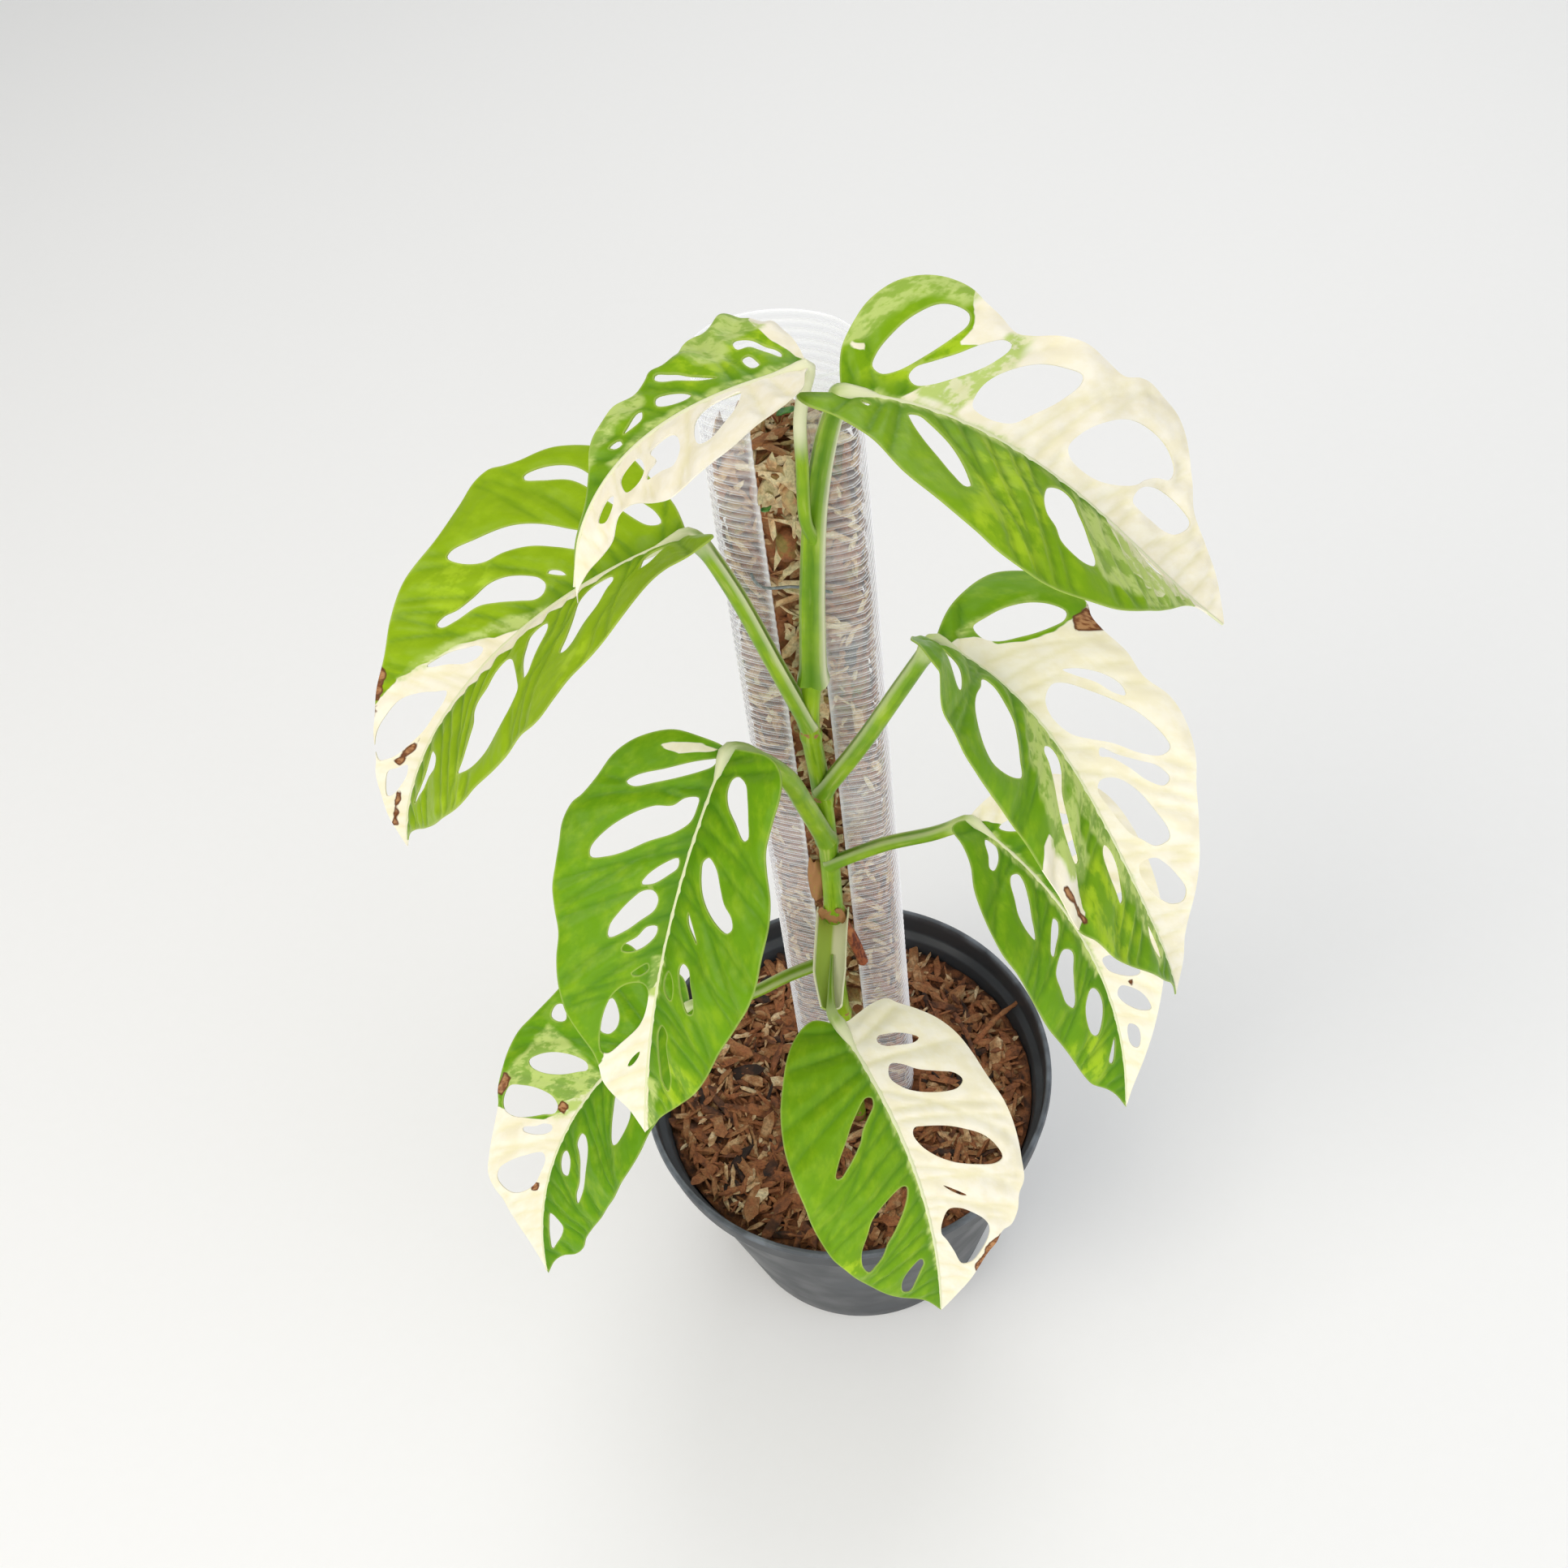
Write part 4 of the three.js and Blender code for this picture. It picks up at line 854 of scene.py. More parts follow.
             (47, 31), (43, 36.5), (38, 40), (33, 40), (27, 37), (22, 32), (19.5, 26), (19, 19)],
            [(46, 7), (47.5, 4), (51, 3.5), (55, 6), (60, 11), (66, 14), (73, 17), (78, 19), (78, 21),
             (70, 19.5), (62, 16.5), (55, 13), (50, 10.5), (47, 9.5)],
            [(80.5, 5), (83, 3.3), (88, 3.5), (93, 6), (97, 9), (97, 11), (94, 10.5), (88, 9.5),
             (82, 7.5)],
            [(111, 2.8), (116, 2.4), (122, 2.8), (124.5, 4), (120, 5.8), (115, 5.5)],
        ],
        "cream": [
            [(4, 0), (6, -5), (10, -8), (16, -10), (21, -16), (25, -25), (26.5, -33), (26, -50),
             (40, -50), (170, -50), (170, 0)],
            [(66, 26), (80, 23), (90, 27), (92, 37), (80, 37), (72, 33), (68, 30)],
        ],
        "marbled": [
            [(32, 0), (36, 8), (42, 15), (50, 20), (60, 24), (68, 26), (80, 26), (84, 20), (80, 13),
             (60, 8), (100, 5), (125, 8), (125, 0)],
            [(6, -6), (6, -9), (17, -33), (18.5, -32)],
        ],
        "lime": [[(80, 10), (80, 28), (110, 28), (110, 10)]],
        "burnt": [
            [(26.5, -43), (29, -40), (33, -38), (31, -34), (28.5, -30), (26, -34)],
            [(80, 29.5), (80, 31), (92, 29), (92, 27.5)],
        ],
    },
    "leaf_middle_left": {
        "stalk": [(6, -13, 303), (2, -24, 336), (-1, -36, 365), (-8, -43, 382)],
        "stalk_radii": (3.6, 2.8),
        "base": (-16, -45, 387),
        "heading": (-115, -112, -108),
        "droop": (30, 52, 71),
        "roll": (-1, 3),
        "fold": (23, 23),
        "length": 136,
        "pale_stalk": 0.4,
        "fresh": 0.3,
        "left": [(-1, -2), (-2, -8), (-2.5, -16), (-1, -22), (3, -27), (8, -29), (16, -29.3), (24, -30),
                 (30, -32.5), (38, -36.5), (46, -39), (55, -40), (62, -40.3), (70, -38.5), (80, -34),
                 (90, -29.5), (100, -26.5), (108, -22.5), (117, -15.5), (126, -8), (132, -4)],
        "right": [(-1, 2), (-1, 10), (0, 18), (3, 24), (8, 30), (14, 34), (22, 36.5), (28, 39), (31, 41),
                  (37, 42), (44, 41), (50, 40.5), (57, 40), (63, 38), (70, 35), (78, 34), (86, 32),
                  (94, 28.5), (100, 24), (107, 18.5), (112, 16), (117, 14.5), (122, 11), (128, 5.5),
                  (134, 2)],
        "tip": (138, 0),
        "holes": [
            [(6.5, -9), (8, -14), (12, -17), (18, -20), (23, -22), (24, -20.5), (20, -15), (16, -9.5),
             (12, -7), (8, -7)],
            [(33, -9), (35, -13), (40, -17), (44, -20.5), (47, -25), (50, -26.3), (52, -24.5),
             (51, -19.5), (48, -14), (44, -10), (39, -7.5), (35, -6.8)],
            [(52, -7), (55, -10), (60, -13.3), (58.5, -11.5), (55, -8)],
            [(68, -9.5), (69, -12.5), (73, -14.5), (77, -16.5), (82, -17), (83, -15), (79, -11.5),
             (75, -9.6), (70, -8.3)],
            [(73, -4), (75, -6.2), (79, -7.4), (82, -7), (80.5, -4), (77, -2.8)],
            [(92, -5), (94, -7.5), (98, -7.8), (104, -9.5), (110, -11), (114, -10.5), (112, -7.5),
             (106, -5.5), (100, -4), (95, -3.5)],
            [(3.5, 2), (6, 2.4), (9, 5.5), (13, 11), (17, 17.5), (20.5, 24), (20, 26.5), (17, 24),
             (12, 16), (7, 8.5), (4.4, 4)],
            [(17, 3), (20, 2.5), (25, 3), (30, 7), (35, 14), (40, 20), (43, 25), (44.5, 30), (42, 30.8),
             (36, 28), (29, 22), (24, 15.5), (22, 10), (18.5, 7)],
            [(37, 3), (40, 2.4), (43, 4.5), (47, 8.5), (48, 12), (45, 11), (40, 7)],
            [(49, 8), (51, 5.8), (55, 6), (60, 10), (64, 13.5), (67.5, 18.5), (64, 19), (58, 16.5),
             (53, 13.5), (50, 11)],
            [(60, 4), (63, 3.8), (68, 7), (70.5, 11), (70.5, 13.5), (68.5, 13), (65, 9.5), (61, 7)],
            [(73, 4.5), (75, 4), (77.5, 6.5), (77.5, 9), (75, 7)],
            [(80, 5), (82, 3), (88, 2.5), (95, 4), (102, 9), (107, 13.5), (106.5, 15.5), (98, 16.5),
             (90, 15.5), (85, 13.5), (81, 9.5)],
            [(104.5, 3), (107, 3.3), (110.5, 5.3), (111, 6.5), (108, 5.7)],
        ],
        "cream": [
            [(0.5, 2), (3, 6), (6.5, 14), (6, 20), (4, 17), (1.5, 9)],
            [(78, 0.5), (84, 2.5), (95, 4.5), (100, 9), (106, 14), (112, 17), (120, 15), (128, 8),
             (140, 2), (140, -2), (110, -1), (82, -0.5)],
        ],
        "marbled": [[(114, -1), (114, -5), (134, -5), (134, -1)], [(70, -1), (70, 3), (84, 3), (84, -1)]],
        "lime": [[(103, -8), (103, -24), (122, -24), (122, -8)]],
    },
    "leaf_lower_right": {
        "stalk": [(6, -12, 287), (28, -18, 307), (46, -24, 321), (54, -27, 329)],
        "stalk_radii": (2.7, 2.2),
        "base": (59, -28, 333),
        "heading": (-25, -46, -86),
        "droop": (25, 49, 70),
        "roll": (0, 0),
        "fold": (20, 20),
        "length": 124,
        "pale_stalk": 0.5,
        "fresh": 0.3,
        "left": [(-1, -2), (0, -9), (3, -18), (13, -32), (25, -39), (32, -40), (48, -35), (71, -25),
                 (93, -13), (115, -3)],
        "right": [(-2, 2), (-4, 6), (-4, 10), (2, 14), (8, 19), (13, 25), (20, 30), (28, 34), (36, 36),
                  (45, 35), (55, 33.5), (65, 31.5), (75, 29), (85, 25), (95, 21), (105, 16.5),
                  (110, 13.5), (115, 7.5), (119, 4)],
        "tip": (126, 0),
        "holes": [
            oval(9, -4, 25, -24, 5.3),
            oval(29, -6, 34, -30, 4.5),
            oval(51, -4, 53, -23, 4.1),
            [(66, -3), (67, -8), (71, -12), (76, -13), (76, -10), (72, -4), (69, -2.6)],
            [(77.5, -5), (80, -9), (84, -12), (88.5, -12.6), (88, -9), (84, -4.5), (80, -3)],
            [(91.5, -4), (93, -6.5), (97, -7), (101, -5.5), (100, -3.5), (95, -2.8)],
            [(7.5, 3.4), (9.5, 2.2), (12, 2.6), (15, 7), (15.5, 13), (14, 13.5), (11, 9), (8, 5.5)],
            [(21.7, 9), (23.5, 5.5), (26, 6), (31, 10), (36, 14.5), (42.5, 20), (38, 21), (32, 19.5),
             (27, 15.5), (23, 12)],
            [(43, 6.5), (45, 5.5), (48, 8), (50.5, 12.5), (52.5, 16.5), (51, 17), (47, 13), (44, 9)],
            [(53.5, 11), (56, 7.5), (58, 7.5), (62, 11), (67, 13.5), (72, 15), (74, 16.5), (70, 19.5),
             (64, 20), (58, 19.5), (55, 16)],
            [(72.5, 7), (74, 4.5), (79, 3.5), (85, 5.5), (90, 9.5), (88, 12), (82, 12.7), (76, 11)],
            [(95, 2.6), (98, 2.9), (104.5, 5), (103, 6.3), (98, 4.5)],
        ],
        "cream": [
            [(0, 0), (4, -3), (15, -9), (35, -6), (45, -2.5), (50, 0), (150, 0), (150, -60), (-10, -60),
             (-10, -2)],
        ],
        "marbled": [[(8, -1), (8, 2.5), (70, 2.5), (70, -1)]],
        "lime": [[(88, 8), (88, 22), (110, 22), (110, 8)]],
        "burnt": [[(77, -9.5), (77, -8), (79, -8), (79, -9.5)]],
    },
    "leaf_lower_left": {
        "stalk": [(2.8, -10.5, 223.5), (-3.5, -15, 226), (-14, -25, 232), (-24, -37, 239),
                  (-35, -49, 248)],
        "stalk_radii": (2.7, 2.2),
        "base": (-45, -55, 255),
        "heading": (-153, -135, -82),
        "droop": (20, 46, 67),
        "roll": (8, 4),
        "fold": (15, 19),
        "length": 136,
        "pale_stalk": 0.5,
        "fresh": 0.2,
        "left": [(-1, -1.5), (-3, -5), (-3, -14), (5, -23), (15, -29), (25, -31), (36, -33), (45, -36),
                 (55, -37), (65, -36), (75, -34), (85, -31), (95, -28), (105, -23.5), (113, -20),
                 (120, -18), (125, -14), (127, -9), (131, -4.5)],
        "right": [(-1, 2), (-3, 11), (5, 23), (9, 34), (19, 38), (33, 37), (40, 36.5), (48, 37), (55, 38),
                  (62, 37), (68, 34.5), (73, 32), (77, 29), (83, 27), (92, 25), (98, 23.5), (102, 20),
                  (105, 16), (110, 12.5), (116, 8.5), (122, 5), (130, 1.8)],
        "tip": (138, -0.5),
        "holes": [
            [(36, -9), (38, -17), (41, -22), (47, -25), (54, -25.3), (56, -23.5), (52, -19), (47, -14.5),
             (42, -10.5), (39, -8.5)],
            [(65, -10), (67, -13), (72, -16), (79, -17.5), (88, -17.8), (95, -16.5), (92, -15), (84, -15),
             (76, -13), (73, -10.5), (71, -8), (66, -7.8)],
            [(77, -5), (78.5, -8), (82, -9.3), (86, -9), (87, -6.5), (84, -4), (79, -3.3)],
            [(107.5, -3.7), (108.5, -7.5), (111, -9.8), (116, -9), (121, -6.5), (125, -4), (120, -3.4),
             (113, -3.2)],
            [(38, 31), (40.5, 26), (43, 28), (43.5, 31.5), (40, 33)],
            [(23, 20), (24, 13), (27, 10), (31, 10), (33, 13), (31, 17), (27, 20)],
            [(45, 8), (46.5, 6.5), (50, 9), (55, 13.5), (59, 20), (60, 25), (59, 27), (55, 25), (50, 20),
             (46, 13)],
            [(63.5, 11), (65, 7.5), (68, 7.3), (71, 11), (75, 16), (77.5, 21), (77.5, 25.5), (75, 28),
             (70, 28.5), (67, 24), (64.5, 18)],
            [(72.5, 6), (74, 5.2), (77, 7), (79.5, 11.5), (80, 15.5), (78.8, 15.8), (76, 11.5),
             (73.5, 9)],
            [(84, 5), (86, 3.3), (92, 3.5), (98, 5), (101.5, 8.5), (102.5, 12), (101, 16.5), (98.5, 19.5),
             (95.5, 19.5), (92, 16.5), (88, 11.5)],
        ],
        "cream": [
            [(48, 0), (56, 3), (63, 7), (66, 5), (72, 10), (78, 22), (77, 28), (80, 34), (100, 32),
             (140, 3), (140, 0)],
        ],
        "marbled": [[(44, 0), (44, 5), (46, 30), (70, 32), (70, 5), (60, 0)]],
        "burnt": [
            [(62, 3.8), (62, 7), (66, 7.5), (66, 4)],
            [(97, 3.4), (97, 5.2), (100, 5.2), (100, 3.4)],
            [(68, 29.6), (68, 33), (74, 32), (74, 29.4)],
        ],
    },
    "leaf_front": {
        "stalk": [(5.4, -27, 250.4), (6.2, -44, 250), (7.5, -53, 249.5)],
        "stalk_radii": (0.5, 2.6),
        "base": (10, -56, 248),
        "heading": (-53, -59, -90),
        "droop": (19, 58, 77),
        "roll": (-3, 11),
        "fold": (6, 8),
        "length": 132,
        "pale_stalk": 0.35,
        "fresh": 0.4,
        "left": [(0, -1), (1, -3), (0.5, -8), (0, -14), (1, -20), (5, -23), (10, -27.5), (17, -33),
                 (25, -37), (35, -39.5), (45, -40.5), (55, -42), (65, -43), (78, -42.5), (86, -41),
                 (90, -37), (96, -34.5), (100, -31), (101, -27), (105, -23.5), (108, -20), (113, -16),
                 (118, -12.5), (125, -6.5)],
        "right": [(-1, 2), (-3, 4), (-5.5, 8), (-5, 13), (-2, 19), (3, 25), (10, 31), (17, 36), (25, 40),
                  (32, 42.5), (42, 44), (52, 44), (62, 43.8), (72, 42.5), (82, 40), (90, 36), (97, 32.5),
                  (105, 28), (113, 22), (120, 15), (126, 6)],
        "tip": (134, 0),
        "holes": [
            [(11.5, -9.5), (13, -15), (17, -21), (19.5, -23), (20, -20.5), (18, -15), (15.5, -10),
             (13, -8.5)],
            [(22.3, -8.5), (24, -12), (29, -17), (33, -23), (37, -29), (41, -31), (42.5, -28), (41, -22),
             (36, -13), (31, -8), (26, -6)],
            [(47, -6), (48, -9), (52, -17), (57, -24), (62, -29.5), (68, -33), (74, -34.3), (74.5, -31),
             (71, -23), (66, -15), (60, -9), (54, -5.5), (49, -4.5)],
            [(73, -8.5), (77, -12.5), (81.5, -16.5), (81, -15), (77, -11)],
            [(83.5, -8), (85, -12.5), (89, -17), (94, -21), (98, -22.3), (102, -21), (106.5, -17.5),
             (110, -13.5), (110, -9.5), (103, -7), (97, -5), (93, -3.4), (88, -4.5)],
            [(28.3, 6), (29.5, 3.7), (32, 4.5), (35, 8.5), (38, 12.5), (41, 15), (44, 19), (47, 24),
             (49, 28), (48, 29.5), (43, 26), (38, 20), (33, 14)],
            [(65.3, 7), (66.5, 5.2), (70, 6), (76, 9.5), (80, 13), (86, 18), (91, 21), (94, 25),
             (95.5, 27.5), (91, 29.7), (85, 29), (78, 25.5), (72, 22), (68, 16)],
            [(101, 6.5), (104, 5.5), (107, 7), (112, 9.5), (117, 12.5), (115.5, 15), (110, 15),
             (105, 12)],
        ],
        "cream": [LEFT_HALF],
        "marbled": [[(0, 0), (0, 1.5), (110, 1.5), (110, 0)]],
        "lime": [[(86, 28), (86, 40), (98, 38), (98, 28)]],
        "burnt": [[(101, -30), (103, -22), (112, -14.6), (116, -15), (108, -22), (105, -28)]],
    },
}


# Flat outlines


def inside(outline, points):
    """Which points lie in a closed outline: a ray from each crosses its sides an odd number of times."""
    a, b = outline, np.roll(outline, -1, axis=0)
    y = points[:, 1:]
    crossed = (a[:, 1] > y) != (b[:, 1] > y)
    rise = np.where(b[:, 1] == a[:, 1], 1.0, b[:, 1] - a[:, 1])
    at = a[:, 0] + (y - a[:, 1]) / rise * (b[:, 0] - a[:, 0])
    return (crossed & (points[:, :1] < at)).sum(1) % 2 == 1


def distance_to(outline, points, closed=True):
    """Each point's distance to the nearest side of an outline."""
    a, b = (outline, np.roll(outline, -1, axis=0)) if closed else (outline[:-1], outline[1:])
    run = b - a
    reach = points[:, None] - a
    share = np.clip((reach * run).sum(-1) / np.maximum((run * run).sum(-1), 1e-9), 0, 1)
    return np.linalg.norm(reach - run * share[..., None], axis=-1).min(1)


OUTSIDE = -40.0  # the depth of every place where there are no polygons


def depth_in(polygons, points):
    """How deep each point lies in the nearest of the polygons, in millimetres, and below zero outside."""
    best = np.full(len(points), OUTSIDE)
    for polygon in polygons:
        corners = np.asarray(polygon, float)
        gap = distance_to(corners, points)
        best = np.maximum(best, np.where(inside(corners, points), gap, -gap))
    return best


def filled(outline, holes, pitch):
    """Points and triangles that fill a flat outline round its holes: a lattice of even triangles, joined to
    the outlines by a constrained Delaunay triangulation. Also gives each point's distance to the rim."""
    low, high = outline.min(0), outline.max(0)
    x, y = np.meshgrid(np.arange(low[0], high[0], pitch), np.arange(low[1], high[1], pitch * 0.866))
    x = x + (np.arange(len(x)) % 2)[:, None] * pitch / 2
    lattice = np.stack([x.ravel(), y.ravel()], -1)
    lattice = lattice[inside(outline, lattice)]
    for loop in [outline, *holes]:
        lattice = lattice[distance_to(loop, lattice) > 0.6 * pitch]
    for hole in holes:
        lattice = lattice[~inside(hole, lattice)]
    loops = [outline, *holes]
    points = np.concatenate([*loops, lattice])
    edges, start = [], 0
    for loop in loops:
        ring = np.arange(len(loop)) + start
        edges.append(np.stack([ring, np.roll(ring, -1)], -1))
        start += len(loop)
    corners = [Vector(place) for place in points.tolist()]
    made = delaunay_2d_cdt(corners, np.concatenate(edges).tolist(), [], 0, 1e-6)
    points = np.array([tuple(place) for place in made[0]])
    triangles = np.array(made[2])
    centres = points[triangles].mean(1)
    keep = inside(outline, centres)
    for hole in holes:
        keep &= ~inside(hole, centres)
    triangles = triangles[keep]
    used, fresh = np.unique(triangles, return_inverse=True)
    points = points[used]
    rim = np.min([distance_to(loop, points) for loop in loops], axis=0)
    return points, fresh.reshape(-1, 3), rim


def open_edges(triangles):
    """Directed edges that only one triangle has, as pairs of point numbers."""
    edges = np.concatenate([triangles[:, [0, 1]], triangles[:, [1, 2]], triangles[:, [2, 0]]])
    size = triangles.max() + 1
    there = edges[:, 0] * size + edges[:, 1]
    back = edges[:, 1] * size + edges[:, 0]
    return edges[~np.isin(there, back)]


def thick_sheet(grid, thickness):
    """A closed sheet: a grid of points moved half a thickness to either side, with walls round its rim."""
    rows, columns = grid.shape[:2]
    normal = unit(np.cross(np.gradient(grid, axis=0), np.gradient(grid, axis=1)) + 1e-12)
    shift = normal * np.broadcast_to(thickness, (rows, columns))[..., None] / 2
    points = np.concatenate([(grid + shift).reshape(-1, 3), (grid - shift).reshape(-1, 3)])
    count = rows * columns
    back = grid_faces(rows, columns) + count
    front = grid_faces(rows, columns)[:, ::-1]
    number = np.arange(count).reshape(rows, columns)
    rim = np.concatenate([number[:, 0], number[-1, 1:], number[-2::-1, -1], number[0, -2:0:-1]])
    ahead = np.roll(rim, -1)
    walls = np.stack([ahead, rim, rim + count, ahead + count], -1)
    return points, [front, back, walls]


# Leaves

CURL = math.radians(-0.3)  # how a half bends down, per millimetre out from the midrib
RIPPLE, RIPPLE_AT, RIPPLE_LENGTH = 1.3, 40, 52  # height of the waves in a margin, where, and their length
LEAN_POWER = 1.2  # how the side veins bend towards the tip
HOLE_GAP = 2.6  # a vein that keeps this far from the holes is clear of them
NO_VEIN = 9.0  # the distance to the nearest side vein, where it is farther or there is none
PATCHES = ("cream", "marbled", "lime", "burnt")
# The blade's marks, as they are on stalk and sheath.
BLADE_MARKS = dict.fromkeys((*PATCHES, "ragged", "fresh", "vein", "rim"), 0.0)


class Blade:
    """Lays flat points of a leaf plan in space, along its bent midrib and up its two curved halves."""

    def __init__(self, plan):
        self.plan = plan
        self.length = plan["length"]
        count = 60
        self.stride = self.length / count
        steps = self.axes((np.arange(count) + 0.5) * self.stride)[0] * self.stride
        ahead = np.concatenate([np.zeros((1, 3)), np.cumsum(steps, 0)])
        self.spine = np.asarray(plan["base"], float) + ahead

    def axes(self, along):
        """Forward, right and up at places along the midrib. Heading and droop follow a parabola through
        their three values, roll a straight line."""
        t = np.clip(np.asarray(along, float) / self.length, 0, 1)
        heading, droop = (
            np.radians(a * (1 - t) * (1 - 2 * t) + 4 * b * t * (1 - t) + c * t * (2 * t - 1))
            for a, b, c in (self.plan["heading"], self.plan["droop"])
        )
        roll = np.radians(self.plan["roll"][0] * (1 - t) + self.plan["roll"][1] * t)[..., None]
        flat = np.cos(droop)
        forward = np.stack([flat * np.cos(heading), flat * np.sin(heading), -np.sin(droop)], -1)
        level = np.stack([np.sin(heading), -np.cos(heading), 0 * heading], -1)
        right = np.cos(roll) * level + np.sin(roll) * np.cross(level, forward)
        return forward, right, np.cross(right, forward)

    def midrib(self, along):
        """The midrib's places at distances along it."""
        step = np.clip((along / self.stride).astype(int), 0, len(self.spine) - 2)
        share = (along / self.stride - step)[..., None]
        return self.spine[step] * (1 - share) + self.spine[step + 1] * share

    def place(self, along, out, lift):
        """Places in the frame of flat points, lifted off the blade's middle layer. A half rises by its fold
        and bends down evenly, as an arc does. A sine waves its margin."""
        side = np.where(out >= 0, 1.0, -1.0)
        far = np.abs(out)
        _, right, up = self.axes(along)
        fold = np.radians(np.where(out >= 0, self.plan["fold"][1], self.plan["fold"][0]))
        slope = fold + CURL * far
        across = (np.sin(slope) - np.sin(fold)) / CURL
        height = (np.cos(fold) - np.cos(slope)) / CURL
        wave = RIPPLE * (far / RIPPLE_AT) ** 2 * np.sin(TURN * (along + 0.4 * far) / RIPPLE_LENGTH + side)
        lift = lift + wave
        sideways = (side * (across - lift * np.sin(slope)))[:, None]
        return self.midrib(along) + right * sideways + up * (height + lift * np.cos(slope))[:, None]


def side_veins(length, outline, holes, side):
    """The side veins of one half, as (foot, lean). A vein has moved on by lean * out ** 1.2 at each
    distance out from the midrib. Each next one starts 5 to 11 mm on, where it keeps clearest of the
    holes."""
    feet = np.arange(1.0, length - 6, 1.0)
    # Near the base the veins run back, and further on they lean towards the tip.
    usual = -0.28 + 0.62 * smoothstep(feet, -12, 34)
    leans = usual[:, None] + np.linspace(-0.13, 0.13, 7)
    out = np.arange(3.0, 50, 1.8)
    along = feet[:, None, None] + leans[..., None] * out**LEAN_POWER
    spots = np.stack([along, np.broadcast_to(side * out, along.shape)], -1).reshape(-1, 2)
    clear = np.full(len(spots), HOLE_GAP)
    for hole in holes:
        if hole[:, 1].mean() * side > 0:
            gap = distance_to(hole, spots)
            clear = np.minimum(clear, np.where(inside(hole, spots), -gap, gap))
    clear = np.where(inside(outline, spots), clear, HOLE_GAP).reshape(along.shape).min(-1)
    best = clear.argmax(1)
    worth = clear[np.arange(len(feet)), best]
    veins, last = [], -5
    while True:
        near = np.flatnonzero((feet >= last + 5) & (feet <= last + 11))
        if not len(near):
            return veins
        pick = near[(worth[near] - 0.12 * np.abs(feet[near] - last - 8)).argmax()]
        veins.append((feet[pick], leans[pick, best[pick]]))
        last = feet[pick]


def vein_distance(points, veins, side):
    """Each flat point's distance to the nearest side vein of its half."""
    nearest = np.full(len(points), NO_VEIN)
    half = points[:, 1] * side >= 0
    out = np.concatenate([np.arange(0, 12, 1.0), np.arange(12, 56, 2.5)])
    for foot, lean in veins:
        line = np.stack([foot + lean * out**LEAN_POWER, side * out], -1)
        nearest[half] = np.minimum(nearest[half], distance_to(line, points[half], closed=False))
    return nearest


def blade_shape(plan, blade, leaf, seed):
    """A blade with its holes: the filled outline, laid in space as an upper and an under face."""
    ends = [(0.0, 0.0)], [plan["tip"]]
    right, left = (through(ends[0] + plan[side] + ends[1], 0.9) for side in ("right", "left"))
    outline = np.concatenate([right[:-1], left[:0:-1]])
    holes = [through(hole, 0.9, closed=True) for hole in plan["holes"]]
    flat, triangles, rim = filled(outline, holes, to_mm(leaf.pitch))
    along, out = flat.T
    far = np.abs(out)
    near = np.full(len(flat), NO_VEIN)
    for side in (-1, 1):
        veins = side_veins(blade.length, outline, holes, side)
        near = np.minimum(near, vein_distance(flat, veins, side))
    vein = np.exp(-((near / 0.8) ** 2)) * smoothstep(rim, 0, 2) * (1 - 0.5 * smoothstep(far, 10, 45))
    calm = smoothstep(rim, 0, 3) * smoothstep(far, 0.5, 6)
    swell = to_mm(leaf.quilting) * (smoothstep(near, 0, 4.2) - 0.5) * calm
    pucker = 0.5 * bumps(flat, 22, seed) * smoothstep(far, 2, 14) + 0.12 * bumps(flat, 5, seed + 1) * calm
    crumple = plan.get("crumple", 0) * bumps(flat, 11, seed + 2) * smoothstep(out, 8, 20)
    lift = swell + pucker + crumple - 0.25 * vein
    half = to_mm(leaf.thickness) / 2
    points = np.concatenate([blade.place(along, out, lift + half), blade.place(along, out, lift - half)])
    count = len(flat)
    upper = triangles[:, ::-1]
    ahead = open_edges(upper)
    walls = np.stack([ahead[:, 1], ahead[:, 0], ahead[:, 0] + count, ahead[:, 1] + count], -1)
    marks = {patch: depth_in(plan.get(patch, []), flat) for patch in PATCHES}
    marks.update(
        ragged=np.clip((far - 0.5) / 8, 0, 1),
        fresh=np.full(len(flat), plan["fresh"]),
        vein=vein,
        rim=rim,
        u=(along - 0.6 * far) * MM,
        v=out * MM,
    )
    marks = {name: np.tile(values, 2) for name, values in marks.items()}
    marks.update(pale=0.0, dry=0.0, deep=0.0)
    return points, [upper, triangles + count, walls], marks


